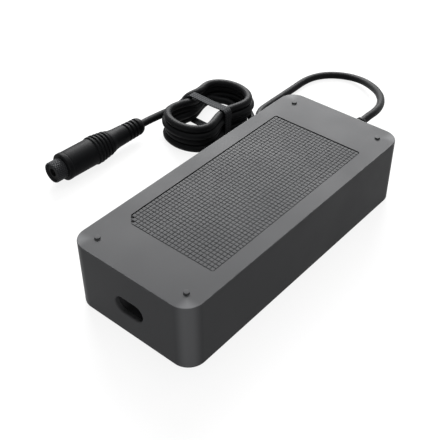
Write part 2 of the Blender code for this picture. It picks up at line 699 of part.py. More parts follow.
def hank_point(angle, offset=0.0):
    """A point of the hank's centreline seen from above, moved outwards by the offset."""
    x = y = step_x = step_y = 0.0
    for number, size in enumerate(HANK_LENGTH_WAVES):
        order = 2 * number + 1
        y += size * math.cos(order * angle)
        step_y -= order * size * math.sin(order * angle)
    for number, size in enumerate(HANK_WIDTH_WAVES):
        order = 2 * number + 1
        x += size * math.sin(order * angle)
        step_x += order * size * math.cos(order * angle)
    reach = offset / math.hypot(step_x, step_y)
    return (HANK_CENTRE[0] + x - reach * step_y, HANK_CENTRE[1] + y + reach * step_x)


def build_hank(look):
    """The outer shape of the tied turns: one waisted ring, as tall as the stack."""
    height = HANK_TURNS * CORD_DIAMETER
    angles = [2 * math.pi * step / HANK_OUTLINE_POINTS for step in range(HANK_OUTLINE_POINTS)]
    loops = [[hank_point(angle, side * CORD_DIAMETER / 2) for angle in angles] for side in (1, -1)]
    return outline("cord_hank", loops, height, Matrix.Translation((0, 0, HANK_BOTTOM + height / 2)), look)


def build_strap(look):
    """The tie: a flat band round both sides of the hank at its waist."""
    under_strap = []
    for step in range(HANK_SEARCH_POINTS):
        x, y = hank_point(math.pi * step / HANK_SEARCH_POINTS, CORD_DIAMETER / 2)
        if abs(y - HANK_CENTRE[1]) < STRAP_WIDTH / 2 + FIT_GAP:
            under_strap.append(x - HANK_CENTRE[0])
    inner_x = max(under_strap) + FIT_GAP
    inner_bottom = STRAP_THICKNESS
    inner_top = HANK_BOTTOM + HANK_TURNS * CORD_DIAMETER + FIT_GAP
    loops = []
    for grow in (STRAP_THICKNESS, 0.0):
        radius = STRAP_CORNER_RADIUS - STRAP_THICKNESS + grow
        half_x, low, high = inner_x + grow, inner_bottom - grow, inner_top + grow
        corners = ((half_x - radius, low + radius, -90), (half_x - radius, high - radius, 0),
                   (-half_x + radius, high - radius, 90), (-half_x + radius, low + radius, 180))
        points = []
        for centre_x, centre_z, start in corners:
            for step in range(4):
                angle = math.radians(start + 30 * step)
                points.append((centre_x + radius * math.cos(angle), centre_z + radius * math.sin(angle)))
        loops.append(points)
    place = Matrix.Translation((HANK_CENTRE[0], HANK_CENTRE[1], 0)) @ Matrix.Rotation(math.pi / 2, 4, "X")
    return outline("hank_tie", loops, STRAP_WIDTH, place, look)


def lead_route():
    """Hand-chosen points of the lead from the boot to the hank."""
    floor = CORD_DIAMETER / 2 + FIT_GAP
    drop = EXIT_HEIGHT - floor
    points = [(0.0, END_Y + BOOT_LENGTH + FIT_GAP, EXIT_HEIGHT)]
    # The bend behind the charger: x, distance from the end wall, share of the exit's height left
    for x, reach, share in ((0.0000, 0.0282, 1.00), (-0.0002, 0.0330, 0.97), (-0.0021, 0.0416, 0.88),
                            (-0.0062, 0.0511, 0.75), (-0.0124, 0.0609, 0.58), (-0.0201, 0.0699, 0.40),
                            (-0.0288, 0.0772, 0.24), (-0.0377, 0.0822, 0.11), (-0.0462, 0.0837, 0.03),
                            (-0.0533, 0.0820, 0.00), (-0.0590, 0.0781, 0.00), (-0.0634, 0.0728, 0.00),
                            (-0.0662, 0.0665, 0.00), (-0.0673, 0.0599, 0.00)):
        points.append((x, END_Y + reach, floor + share * drop))
    # Along the floor beside the hank, and round into its lowest turn
    for x, y in ((-0.0673, 0.1300), (-0.0673, 0.1150), (-0.0668, 0.1000), (-0.0630, 0.0880),
                 (-0.0545, 0.0770), (-0.0470, 0.0660), (-0.0425, 0.0540), (-0.0412, 0.0420),
                 (-0.0440, 0.0325), (-0.0515, 0.0285), (-0.0575, 0.0325)):
        points.append((x, y, floor))
    for room in (CORD_DIAMETER, FIT_GAP):
        points.append((*hank_point(LEAD_MEETING_ANGLE, CORD_DIAMETER / 2 + room), floor))
    return points


def plug_lead_route():
    """Hand-chosen points of the lead from the connector to the hank's top turn."""
    tail = Vector((*PLUG_TAIL, PLUG_AXIS_HEIGHT))
    back = (tail - Vector((*PLUG_FACE, PLUG_AXIS_HEIGHT))).normalized()
    top = HANK_BOTTOM + (HANK_TURNS - 1) * CORD_DIAMETER
    meeting = [(*hank_point(PLUG_MEETING_ANGLE, CORD_DIAMETER / 2 + room), top)
               for room in (CORD_DIAMETER, FIT_GAP)]
    return [tail + back * FIT_GAP, tail + back * CORD_DIAMETER, (-0.1040, 0.0392, 0.0100)] + meeting


def build_cords(look):
    """The lead's two free stretches."""
    tube("cord_lead", smooth_line(lead_route(), LEAD_SPACING * CORD_DIAMETER), CORD_DIAMETER, look)
    tube("cord_plug_lead", smooth_line(plug_lead_route(), PLUG_LEAD_SPACING * CORD_DIAMETER), CORD_DIAMETER,
         look)


def plug_place(distance):
    """The frame on the connector's axis, a distance behind its face, Z pointing at the face."""
    face = Vector((*PLUG_FACE, PLUG_AXIS_HEIGHT))
    tail = Vector((*PLUG_TAIL, PLUG_AXIS_HEIGHT))
    forward = (face - tail).normalized()
    turn = forward.to_track_quat("Z", "Y").to_matrix().to_4x4()
    return Matrix.Translation(face - forward * distance) @ turn


def build_grip(look):
    """The connector's moulded grip: front lip, barrel, falling rings and a neck with grooves at its end."""
    length = (Vector(PLUG_FACE) - Vector(PLUG_TAIL)).length - NOSE_LENGTH - FIT_GAP
    lip, barrel, ring = GRIP_LIP_DIAMETER / 2, GRIP_DIAMETER / 2, GRIP_RING_DIAMETER / 2
    profile = [(0, 0), (lip - GRIP_LIP_ROUNDING, 0), (lip, -GRIP_LIP_ROUNDING), (lip, -GRIP_LIP_LENGTH),
               (barrel, -GRIP_LIP_LENGTH), (barrel, -GRIP_BARREL_LENGTH)]
    crest_end, groove_start, groove_end = GRIP_RING_SHARES
    for number in range(GRIP_RINGS):
        top = ring - GRIP_RING_FALL * number * (number + 1) / 3
        start = -GRIP_BARREL_LENGTH - number * GRIP_RING_PITCH
        profile += [(top, start), (top, start - crest_end * GRIP_RING_PITCH),
                    (top - GRIP_RING_DEPTH, start - groove_start * GRIP_RING_PITCH),
                    (top - GRIP_RING_DEPTH, start - groove_end * GRIP_RING_PITCH)]
    neck_start = -GRIP_BARREL_LENGTH - GRIP_RINGS * GRIP_RING_PITCH - GRIP_RING_PITCH
    neck, tip = NECK_DIAMETER / 2, NECK_TIP_DIAMETER / 2
    profile += [(neck + GRIP_RING_DEPTH / 2, neck_start + GRIP_RING_PITCH / 2), (neck, neck_start)]
    deepest, groove_end = NECK_GROOVE_SHARES
    for number in range(NECK_GROOVES, 0, -1):
        start = -length + NECK_END_ROUNDING + number * NECK_GROOVE_PITCH
        wide = neck + (tip - neck) * (neck_start - start) / (neck_start + length)
        profile += [(wide, start), (wide - NECK_GROOVE_DEPTH, start - deepest * NECK_GROOVE_PITCH),
                    (wide, start - groove_end * NECK_GROOVE_PITCH)]
    soft = NECK_END_ROUNDING
    profile += [(tip, -length + soft), (tip - soft / 3, -length + soft / 3), (tip - soft, -length),
                (0, -length)]
    turned("plug_grip", profile, plug_place(NOSE_LENGTH + FIT_GAP), look, 20)


def build_coupling(parts):
    """The connector's front: coupling sleeve, insulator and the hollow centre contact."""
    nose, bore = NOSE_DIAMETER / 2, NOSE_BORE / 2
    round_edge = (nose - bore) / 3
    sleeve = [(bore, -round_edge), (bore + round_edge, 0), (nose - round_edge, 0), (nose, -round_edge),
              (nose, -NOSE_LENGTH), (bore, -NOSE_LENGTH), (bore, -round_edge)]
    turned("plug_sleeve", sleeve, plug_place(0), parts["sleeve"])

    core = bore - FIT_GAP
    pocket = CONTACT_DIAMETER / 2 + FIT_GAP
    floor = -NOSE_LENGTH + FACE_SETBACK
    insulator = [(pocket, -FACE_SETBACK), (core, -FACE_SETBACK), (core, -NOSE_LENGTH), (0, -NOSE_LENGTH),
                 (0, floor), (pocket, floor), (pocket, -FACE_SETBACK)]
    turned("plug_insulator", insulator, plug_place(0), parts["insulator"])

    outer, hole = CONTACT_DIAMETER / 2, CONTACT_BORE / 2
    foot = floor + FIT_GAP
    contact = [(hole, 0), (outer - FIT_GAP, 0), (outer, -FIT_GAP), (outer, foot), (0, foot),
               (0, -CONTACT_BORE_DEPTH), (hole, -CONTACT_BORE_DEPTH), (hole, 0)]
    turned("plug_contact", contact, plug_place(0), parts["pin"], 16)


def build_lamp(look):
    """The status lamp's lens, flush with the end wall, held by a rim inside it."""
    length = WALL_THICKNESS + FIT_GAP + LAMP_RIM_THICKNESS
    radius = LAMP_DIAMETER / 2
    profile = [(0, length), (radius - LAMP_RIM, length), (radius, length - LAMP_RIM),
               (radius, LAMP_RIM_THICKNESS), (radius + LAMP_RIM + FIT_GAP, LAMP_RIM_THICKNESS),
               (radius + LAMP_RIM + FIT_GAP, 0), (0, 0)]
    place = Matrix.Translation((LAMP_X, END_Y - length, EXIT_HEIGHT)) @ turn_to("Y")
    turned("status_lens", profile, place, look, 12)


def board_holes():
    """Where the board's posts stand."""
    x = BOARD_WIDTH / 2 - BOARD_HOLE_INSET
    y = BOARD_LENGTH / 2 - BOARD_HOLE_INSET
    return [(side * x, BOARD_Y + end * y) for end in (-1, 1) for side in (-1, 1)]


def build_board(parts):
    """The circuit board and the insulation sheet under it."""
    board = block("circuit_board", (BOARD_WIDTH, BOARD_LENGTH, BOARD_THICKNESS),
                  (0, BOARD_Y, BOARD_BOTTOM + BOARD_THICKNESS / 2), parts["board"])
    sheet_bottom = BASE_THICKNESS + FIT_GAP
    sheet = block("insulation_sheet", (BOARD_WIDTH, BOARD_LENGTH, SHEET_THICKNESS),
                  (0, BOARD_Y, sheet_bottom + SHEET_THICKNESS / 2), parts["sheet"])
    for number, (x, y) in enumerate(board_holes(), 1):
        cut(board, rod(f"cut_board_{number}", BOARD_HOLE_DIAMETER, 4 * BOARD_THICKNESS,
                       (x, y, BOARD_BOTTOM), steps=12, cutter=True))
        cut(sheet, rod(f"cut_sheet_{number}", BOARD_POST_DIAMETER + 2 * FIT_GAP, 10 * SHEET_THICKNESS,
                       (x, y, sheet_bottom), steps=12, cutter=True))


def board_place(place, height):
    """The point over a place given in cells, at a height above the board parts' seat."""
    return (place[0] * CELL_X, BOARD_Y + place[1] * CELL_Y, SEAT + height)


def board_size(size):
    """A box size in metres from one in cells."""
    return (size[0] * CELL_X, size[1] * CELL_Y, size[2] * CELL_Z)


def ring_profile(outer, inner, height):
    """Half-section of a ring-shaped winding with softened corners."""
    half = height / 2
    soft = (outer - inner) * RING_ROUNDING
    return [(inner + soft, half), (outer - soft, half), (outer, half - soft), (outer, soft - half),
            (outer - soft, -half), (inner + soft, -half), (inner, soft - half), (inner, half - soft),
            (inner + soft, half)]


def can(name, diameter, height, place, look):
    """An electrolytic capacitor with a rolled groove near its foot."""
    radius = diameter / 2
    soft, groove = radius * CAN_ROUNDING, radius * CAN_GROOVE_HEIGHT
    profile = [(0, height), (radius - soft, height), (radius, height - soft), (radius, groove + soft),
               (radius - soft, groove), (radius, groove - soft), (radius, 0), (0, 0)]
    return turned(name, profile, place, look, 16)


def build_board_blocks(parts):
    """The box-shaped parts, and the transistors clamped to the heat sinks."""
    for name, (look, place, cells) in BOARD_BLOCKS.items():
        size = board_size(cells)
        block(name, size, board_place(place, size[2] / 2), parts[look])
    for name, (sink, side, along, cells) in SINK_PARTS.items():
        size = board_size(cells)
        _, sink_place, sink_cells = BOARD_BLOCKS[sink]
        reach = board_size(sink_cells)[0] / 2 + FIT_GAP + size[0] / 2
        x, y, z = board_place((sink_place[0], along), size[2] / 2)
        block(name, size, (x + side * reach, y, z), parts["epoxy"])


def build_board_rounds(parts):
    """The capacitors and the ring-shaped windings."""
    for name, (place, diameter, height) in BOARD_CANS.items():
        foot = Matrix.Translation(board_place(place, 0))
        can(name, diameter * ROUND_CELL, height * CELL_Z, foot, parts["can"])
    diameter, length = BULK_CAPACITOR_DIAMETER * ROUND_CELL, BULK_CAPACITOR_LENGTH * CELL_X
    x, y, z = board_place(BULK_CAPACITOR_PLACE, diameter / 2)
    lying = Matrix.Translation((x - length / 2, y, z)) @ turn_to("X")
    can("bulk_capacitor", diameter, length, lying, parts["can"])
    for name, (place, outer, inner, cells) in BOARD_RINGS.items():
        height = cells * CELL_Z
        turned(name, ring_profile(outer * ROUND_CELL / 2, inner * ROUND_CELL / 2, height),
               Matrix.Translation(board_place(place, height / 2)), parts["copper"], 18)


def build_choke_divider(look):
    """The plate that stands in the filter choke's bore and keeps its two windings apart."""
    place, _, inner, cells = BOARD_RINGS["filter_choke_winding"]
    bore, height = inner * ROUND_CELL, cells * CELL_Z * DIVIDER_HEIGHT
    block("filter_choke_divider", (bore * DIVIDER_WIDTH, bore * DIVIDER_THICKNESS, height),
          board_place(place, height / 2), look)


def build_fuse(look):
    """The mains fuse: a tube with a wider cap at each end, lying across the board."""
    half, radius = FUSE_LENGTH * CELL_X / 2, FUSE_DIAMETER * ROUND_CELL / 2
    step = radius * FUSE_CAP_STEP
    inner = half - 2 * half * FUSE_CAP_LENGTH
    profile = [(0, half), (radius, half), (radius, inner), (radius - step, inner - step),
               (radius - step, step - inner), (radius, -inner), (radius, -half), (0, -half)]
    lying = Matrix.Translation(board_place(FUSE_PLACE, radius)) @ turn_to("X")
    turned("mains_fuse", profile, lying, look, 12)


def build_safety_capacitor(look):
    """The disc-shaped safety capacitor, standing on edge."""
    radius, half = SAFETY_CAPACITOR_DIAMETER * ROUND_CELL / 2, SAFETY_CAPACITOR_THICKNESS * ROUND_CELL / 2
    face, level = radius * SAFETY_CAPACITOR_FACE[0], half * SAFETY_CAPACITOR_FACE[1]
    rim = half * SAFETY_CAPACITOR_RIM
    profile = [(0, half), (face, level), (radius, rim), (radius, -rim), (face, -level), (0, -half)]
    place = Matrix.Translation(board_place(SAFETY_CAPACITOR_PLACE, radius)) @ turn_to("Y")
    turned("safety_capacitor", profile, place, look, 14)


def build_transformer(parts):
    """The transformer: a core with two windows, and the winding round its middle leg."""
    width, depth, height = board_size(CORE_SIZE)
    x, y, z = board_place(TRANSFORMER_PLACE, height / 2)
    core = block("transformer_core", (width, depth, height), (x, y, z), parts["ferrite"])
    leg, middle, yoke = CORE_LEG * CELL_X, CORE_MIDDLE_LEG * CELL_X, CORE_LEG * CELL_Z
    window = width / 2 - leg - middle / 2
    for side, name in ((-1, "left"), (1, "right")):
        cut(core, block(f"cut_window_{name}", (window, 2 * depth, height - 2 * yoke),
                        (x + side * (middle + window) / 2, y, z), cutter=True))
    winding = block("transformer_winding",
                    (middle + 2 * (window - FIT_GAP), depth + 2 * WINDING_OVERHANG * CELL_Y,
                     height - 2 * yoke - 2 * FIT_GAP),
                    (x, y, z), parts["tape"], WINDING_CORNER * ROUND_CELL)
    bore = (middle + 2 * FIT_GAP, depth + 2 * FIT_GAP, height)
    cut(winding, block("cut_winding", bore, (x, y, z), cutter=True))


def wire_route(start, landing):
    """A wire that leaves its start along Y, bends down and ends on the board at the landing's y."""
    x, y, z = start
    run = landing - y
    bend = min(abs(run), z - SEAT) / 2
    turn = bend if run > 0 else -bend
    middle = (x, landing - turn * WIRE_BEND_SHARE, z - bend * WIRE_BEND_SHARE)
    return [(x, y, z), (x, landing - turn, z), middle, (x, landing, z - bend), (x, landing, SEAT)]


def build_wires(parts):
    """The mains wires from the inlet's tabs, and the output wires from the boot, down to the board."""
    tab_end = INLET_BACK + FIT_GAP + INLET_TAB_LENGTH + FIT_GAP
    boot_end = BOOT_FACE - FIT_GAP
    inlet_landing = BOARD_START + INLET_WIRE_LANDING * CELL_Y
    output_landing = BOARD_STOP - OUTPUT_WIRE_LANDING * CELL_Y
    inlet_x, output_x = INLET_PIN_SPACING / 2, OUTPUT_WIRE_SPACING / 2
    wires = (("inlet_wire_left", (-inlet_x, tab_end, INLET_HEIGHT), inlet_landing, "neutral"),
             ("inlet_wire_right", (inlet_x, tab_end, INLET_HEIGHT), inlet_landing, "live"),
             ("output_wire_negative", (-output_x, boot_end, EXIT_HEIGHT), output_landing, "neutral"),
             ("output_wire_positive", (output_x, boot_end, EXIT_HEIGHT), output_landing, "live"))
    for name, start, landing, look in wires:
        tube(name, smooth_line(wire_route(start, landing), WIRE_DIAMETER), WIRE_DIAMETER, parts[look], 1)


def main():
    """Builds the whole charger."""
    clear_scene()
    parts = looks()
    build_housing(parts["shell"])
    build_panel(parts["panel"])
    build_base(parts["base"])
    build_screws(parts["screw"])
    build_inlet(parts["inlet"], parts["pin"])
    build_boot(parts["boot"])
    build_cords(parts["cord"])
    build_hank(parts["cord"])
    build_strap(parts["strap"])
    build_grip(parts["grip"])
    build_coupling(parts)
    build_lamp(parts["lens"])
    build_board(parts)
    build_board_blocks(parts)
    build_board_rounds(parts)
    build_choke_divider(parts["epoxy"])
    build_fuse(parts["ceramic"])
    build_safety_capacitor(parts["disc"])
    build_transformer(parts)
    build_wires(parts)


main()
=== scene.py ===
"""Looks of the electric scooter charger: fine pieces, finishes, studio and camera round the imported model."""
import logging
import math
from dataclasses import dataclass, field
from enum import Enum
from itertools import accumulate
from typing import Sequence

import bmesh
import bpy
from mathutils import Matrix, Vector


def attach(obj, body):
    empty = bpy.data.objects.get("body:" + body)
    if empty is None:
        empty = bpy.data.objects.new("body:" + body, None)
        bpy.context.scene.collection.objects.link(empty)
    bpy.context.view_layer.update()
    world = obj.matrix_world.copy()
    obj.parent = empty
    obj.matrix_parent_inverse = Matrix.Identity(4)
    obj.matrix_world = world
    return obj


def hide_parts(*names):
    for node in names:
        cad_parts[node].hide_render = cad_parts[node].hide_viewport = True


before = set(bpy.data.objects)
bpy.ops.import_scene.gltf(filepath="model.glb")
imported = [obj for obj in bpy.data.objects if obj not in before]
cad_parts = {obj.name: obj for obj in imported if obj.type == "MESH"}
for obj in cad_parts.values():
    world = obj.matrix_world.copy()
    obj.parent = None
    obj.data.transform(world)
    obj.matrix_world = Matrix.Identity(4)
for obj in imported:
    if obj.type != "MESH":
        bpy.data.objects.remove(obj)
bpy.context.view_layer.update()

LOG = logging.getLogger("charger")

Point = tuple[float, float, float]
Colour = tuple[float, float, float]
Profile = Sequence[tuple[float, float]]
Corner = tuple[float, float, float]
Socket = bpy.types.NodeSocket
Sockets = bpy.types.bpy_prop_collection
Mesh = bmesh.types.BMesh
Piece = bpy.types.Object

ALONG_Y = Vector((0, 1, 0))


class Act(Enum):
    """How a tool changes the piece that it meets."""

    CUT = "DIFFERENCE"
    ADD = "UNION"


class Pattern(Enum):
    """The relief of a finish, besides its grain."""

    PLAIN = "plain"
    # Rubbed rims with wear, and a painted highlight down the upright corners
    RIM = "rubbed rim"
    WEAVE = "weave"
    HATCH = "crosshatch"
    DRAWN = "drawn"
    WOUND = "wound"
    TRACKS = "tracks"


# Shader effects


class Bench:
    """Adds and links the nodes of one shader tree."""

    def __init__(self, tree: bpy.types.NodeTree) -> None:
        """Keeps the node tree to work on."""
        self.tree = tree

    def add(self, kind: str, **settings: object) -> bpy.types.Node:
        """Adds a node.

        Args:
            kind: The node's type name, without the ShaderNode prefix.
            **settings: Properties of the node to set.

        Returns:
            The new node.
        """
        node = self.tree.nodes.new("ShaderNode" + kind)
        for name, value in settings.items():
            setattr(node, name, value)
        return node

    def feed(self, socket: Socket, value: object) -> None:
        """Links an output to the socket, or sets a plain value on it.

        Args:
            socket: The input socket.
            value: An output socket, a number or a tuple.
        """
        if isinstance(value, Socket):
            self.tree.links.new(value, socket)
        else:
            socket.default_value = value

    def maths(self, operation: str, *values: object, clamp: bool = False) -> Socket:
        """Adds a Math node.

        Args:
            operation: The operation's name.
            *values: Up to three inputs.
            clamp: Whether the result is kept from 0 to 1.

        Returns:
            The result's socket.
        """
        node = self.add("Math", operation=operation, use_clamp=clamp)
        for socket, value in zip(node.inputs, values):
            self.feed(socket, value)
        return node.outputs[0]

    def times(self, first: object, second: object) -> Socket:
        """Multiplies two values."""
        return self.maths("MULTIPLY", first, second)

    def plus(self, first: object, second: object, clamp: bool = False) -> Socket:
        """Adds two values, and may keep the sum from 0 to 1."""
        return self.maths("ADD", first, second, clamp=clamp)

    def minus(self, first: object, second: object) -> Socket:
        """Takes the second value from the first."""
        return self.maths("SUBTRACT", first, second)

    def blend(self, first: object, share: float, second: object, other: float) -> Socket:
        """Adds two values, each multiplied by the share that follows it."""
        return self.plus(self.times(first, share), self.times(second, other))

    def turns(self, value: object, pitch: object) -> Socket:
        """Half a turn, in radians, for each pitch along a value."""
        return self.times(self.maths("DIVIDE", value, pitch), math.pi)

    def ribs(self, value: object, pitch: object) -> Socket:
        """Rounded ribs side by side, one for each pitch along a value."""
        return self.maths("ABSOLUTE", self.maths("SINE", self.turns(value, pitch)))

    def cells(self, place: object, scale: object, feature: str) -> Socket:
        """Adds a cell texture.

        Args:
            place: Where it is read.
            scale: Cells per metre.
            feature: Which distance it gives.

        Returns:
            The distance's socket.
        """
        node = self.add("TexVoronoi", feature=feature)
        self.feed(node.inputs["Vector"], place)
        self.feed(node.inputs["Scale"], scale)
        return node.outputs[0]

    def noise(self, place: object, scale: object, detail: float = 2.0,
              roughness: float = 0.5) -> Socket:
        """Adds a noise texture and returns its value.

        Args:
            place: Where it is read.
            scale: How fine it is, per metre.
            detail: Octaves.
            roughness: How strong the finer octaves are.

        Returns:
            The value's socket.
        """
        node = self.add("TexNoise")
        for name, value in (("Vector", place), ("Scale", scale), ("Detail", detail),
                            ("Roughness", roughness)):
            self.feed(node.inputs[name], value)
        return node.outputs[0]

    def ramp(self, value: object, low: float, high: float, out_low: float = 0.0,
             out_high: float = 1.0) -> Socket:
        """Maps a value from one range to another, smoothly and without overshoot.

        Args:
            value: The value to map.
            low: Start of its range.
            high: End of its range.
            out_low: Result at the start.
            out_high: Result at the end.

        Returns:
            The result's socket.
        """
        node = self.add("MapRange", interpolation_type="SMOOTHSTEP", clamp=True)
        for index, item in enumerate((value, low, high, out_low, out_high)):
            self.feed(node.inputs[index], item)
        return node.outputs[0]

    def parts(self, vector: object) -> list[Socket]:
        """Splits a vector into the sockets of its x, y and z."""
        node = self.add("SeparateXYZ")
        self.feed(node.inputs[0], vector)
        return list(node.outputs)

    def place(self, *parts: object) -> Socket:
        """Joins three parts into a vector."""
        node = self.add("CombineXYZ")
        for socket, value in zip(node.inputs, parts):
            self.feed(socket, value)
        return node.outputs[0]


class Effect:
    """A shader node group that several finishes share, built once.

    Attributes:
        title: The group's name.
        takes: Its inputs besides the place where it is read, with their usual values.
        gives: Its outputs.
    """

    title = "effect"
    takes: dict[str, float] = {}
    gives: tuple[str, ...] = ("Height", "Tone")

    @classmethod
    def group(cls) -> bpy.types.NodeTree:
        """Returns the group, building it the first time."""
        found = bpy.data.node_groups.get(cls.title)
        if found is not None:
            return found
        tree = bpy.data.node_groups.new(cls.title, "ShaderNodeTree")
        tree.interface.new_socket("Place", in_out="INPUT", socket_type="NodeSocketVector")
        for name, value in cls.takes.items():
            socket = tree.interface.new_socket(name, in_out="INPUT", socket_type="NodeSocketFloat")
            socket.default_value = value
        for name in cls.gives:
            tree.interface.new_socket(name, in_out="OUTPUT", socket_type="NodeSocketFloat")
        bench = Bench(tree)
        start = tree.nodes.new("NodeGroupInput")
        end = tree.nodes.new("NodeGroupOutput")
        for name, socket in cls.wire(bench, start.outputs).items():
            tree.links.new(socket, end.inputs[name])
        return tree

    @classmethod
    def wire(cls, bench: Bench, take: Sockets) -> dict[str, Socket]:
        """Wires the inside of the group.

        Args:
            bench: The group's bench.
            take: The sockets of the group's inputs.

        Returns:
            The socket for each output's name.
        """
        raise NotImplementedError


class MouldGrain(Effect):
    """The fine spark-eroded grain of a plastic mould, with broad changes of tone."""

    title = "mould_grain"
    takes = {"Grains": 1800.0, "Patches": 30.0}
    gives = ("Height", "Tone", "Polish")
    cell_scale = 0.7

    @classmethod
    def wire(cls, bench: Bench, take: Sockets) -> dict[str, Socket]:
        """See Effect.wire."""
        fine = bench.noise(take["Place"], take["Grains"], 3.0, 0.65)
        broad = bench.noise(take["Place"], take["Patches"], 4.0, 0.55)
        cells = bench.cells(take["Place"], bench.times(take["Grains"], cls.cell_scale), "SMOOTH_F1")
        return {"Height": bench.blend(fine, 0.6, cells, 0.6), "Tone": bench.blend(broad, 0.55, fine, 0.45),
                "Polish": bench.ramp(broad, 0.3, 0.7)}


class RubbedRimAndCornerHighlight(Effect):
    """Where handling has polished a block's upper and lower rims, with a painted highlight down its rounded
    upright corners.
    """

    title = "rubbed_rim_and_corner_highlight"
    takes = {"Half X": 0.035, "Half Y": 0.08, "Top": 0.035, "Corner": 0.009, "Reach": 0.0012}
    gives = ("Mask", "Corner Highlight")
    patches = 220.0
    least_reach = 0.35

    @classmethod
    def wire(cls, bench: Bench, take: Sockets) -> dict[str, Socket]:
        """See Effect.wire."""
        x, y, z = bench.parts(take["Place"])
        corner = take["Corner"]
        over = [bench.minus(bench.maths("ABSOLUTE", value), bench.minus(take[half], corner))
                for value, half in ((x, "Half X"), (y, "Half Y"))]
        squares = [bench.maths("POWER", bench.maths("MAXIMUM", value, 0.0), 2.0) for value in over]
        length = bench.maths("SQRT", bench.plus(*squares))
        inside = bench.maths("MINIMUM", bench.maths("MAXIMUM", *over), 0.0)
        from_outline = bench.minus(corner, bench.plus(length, inside))
        from_upper = bench.maths("MAXIMUM", from_outline, bench.minus(take["Top"], z))
        from_rim = bench.maths("MINIMUM", from_upper, bench.maths("MAXIMUM", from_outline, z))
        ragged = bench.ramp(bench.noise(take["Place"], cls.patches, 4.0), 0.3, 0.7, cls.least_reach, 1.0)
        share = bench.maths("DIVIDE", from_rim, bench.times(take["Reach"], ragged))
        # Corner Highlight is a painted highlight, strongest in the middle of each upright corner's arc and as
        # tall as the block.
        turned_in = bench.maths("DIVIDE", bench.maths("MINIMUM", *over), corner)
        return {"Mask": bench.ramp(share, 1.0, 0.2), "Corner Highlight": bench.ramp(turned_in, 0.05, 0.60)}


class Weave(Effect):
    """A plain tape weave: raised crossings in staggered rows, read from the tape's own map in metres."""

    title = "tape_weave"
    takes = {"Pitch": 0.0009}
    steepness = 1.5
    weft_height = 0.35
    fuzz_scale = 2600.0

    @classmethod
    def wire(cls, bench: Bench, take: Sockets) -> dict[str, Socket]:
        """See Effect.wire."""
        u, v, _ = bench.parts(take["Place"])
        turns = [bench.turns(value, take["Pitch"]) for value in (u, v)]
        crossings = [bench.times(*(bench.maths(wave, turn) for turn in turns)) for wave in ("SINE", "COSINE")]
        warp, weft = (bench.maths("POWER", bench.maths("ABSOLUTE", crossing), cls.steepness)
                      for crossing in crossings)
        height = bench.maths("MAXIMUM", warp, bench.times(weft, cls.weft_height))
        fuzz = bench.noise(take["Place"], cls.fuzz_scale, 3.0, 0.6)
        # The tone follows the height: painted shade in the weave's low places and a painted highlight on the
        # raised crossings, with random fuzz.
        return {"Height": height, "Tone": bench.blend(height, 0.75, fuzz, 0.25)}


class Crosshatch(Effect):
    """Two crossing sets of fine slanted ribs, read from a turned piece's own map in metres."""

    title = "crosshatch"
    takes = {"Pitch": 0.0010}

    @classmethod
    def wire(cls, bench: Bench, take: Sockets) -> dict[str, Socket]:
        """See Effect.wire."""
        u, v, _ = bench.parts(take["Place"])
        slants = (bench.plus(u, v), bench.minus(u, v))
        height = bench.times(*(bench.ribs(slant, take["Pitch"]) for slant in slants))
        # The tone follows the height: painted shade in the grooves between the ribs.
        return {"Height": height, "Tone": bench.maths("POWER", height, 0.5)}


class DrawnSkin(Effect):
    """Skin of an extruded sheath: faint ridges along it and fine pits, read from the cord's map in metres."""

    title = "drawn_skin"
    takes = {"Ridges": 1500.0}
    stretch = 0.06
    pit_scale = 2400.0
    patch_scale = 40.0

    @classmethod
    def wire(cls, bench: Bench, take: Sockets) -> dict[str, Socket]:
        """See Effect.wire."""
        u, v, _ = bench.parts(take["Place"])
        along = bench.noise(bench.place(u, bench.times(v, cls.stretch), 0.0), take["Ridges"], 3.0)
        pits = bench.noise(take["Place"], cls.pit_scale, 2.0)
        patches = bench.noise(bench.place(bench.times(u, 4.0), v, 0.0), cls.patch_scale, 3.0)
        return {"Height": bench.blend(along, 0.6, pits, 0.4), "Tone": bench.blend(patches, 0.6, along, 0.4)}


class Wound(Effect):
    """Turns of wire or tape side by side, slightly slanted and uneven."""

    title = "wound_turns"
    takes = {"Pitch": 0.0007}
    slant = 0.8
    unevenness = 0.0008

    @classmethod
    def wire(cls, bench: Bench, take: Sockets) -> dict[str, Socket]:
        """See Effect.wire."""
        x, y, _ = bench.parts(take["Place"])
        bend = bench.times(bench.noise(take["Place"], 120.0), cls.unevenness)
        height = bench.ribs(bench.plus(bench.plus(x, bench.times(y, cls.slant)), bend), take["Pitch"])
        # The tone follows the height: painted shade in the grooves between the turns.
        return {"Height": height, "Tone": bench.maths("POWER", height, 0.4)}


class Tracks(Effect):
    """Faint tracks under the board's lacquer."""

    title = "board_tracks"
    takes = {"Pitch": 0.0040}

    @classmethod
    def wire(cls, bench: Bench, take: Sockets) -> dict[str, Socket]:
        """See Effect.wire."""
        edges = bench.cells(take["Place"], bench.maths("DIVIDE", 1.0, take["Pitch"]), "DISTANCE_TO_EDGE")
        line = bench.ramp(edges, 0.04, 0.10)
        return {"Height": line, "Tone": bench.minus(1.0, line)}


EFFECTS: dict[Pattern, type[Effect]] = {
    Pattern.WEAVE: Weave, Pattern.HATCH: Crosshatch, Pattern.DRAWN: DrawnSkin, Pattern.WOUND: Wound,
    Pattern.TRACKS: Tracks,
}
MAPPED = (Pattern.WEAVE, Pattern.HATCH, Pattern.DRAWN)


# Finishes

COAT_ROUGHNESS = 0.12

# How much the grain and the relief change the tone of a finish with a relief; for weave, crosshatch and wound
# turns the relief's tone is painted shade in the grooves
GRAIN_SHARE = 0.4
RELIEF_SHARE = 1.4

# How much lighter the housing's rubbed rims are, how much lighter its upright corners are painted as a
# highlight, and how much smoother the rims
RIM_TONE = 0.25
CORNER_HIGHLIGHT_TONE = 0.75
RIM_POLISH = 0.08
RIM_OF_HOUSING = {"Half X": 0.0350, "Half Y": 0.08085, "Top": 0.0358, "Corner": 0.0090, "Reach": 0.0011}


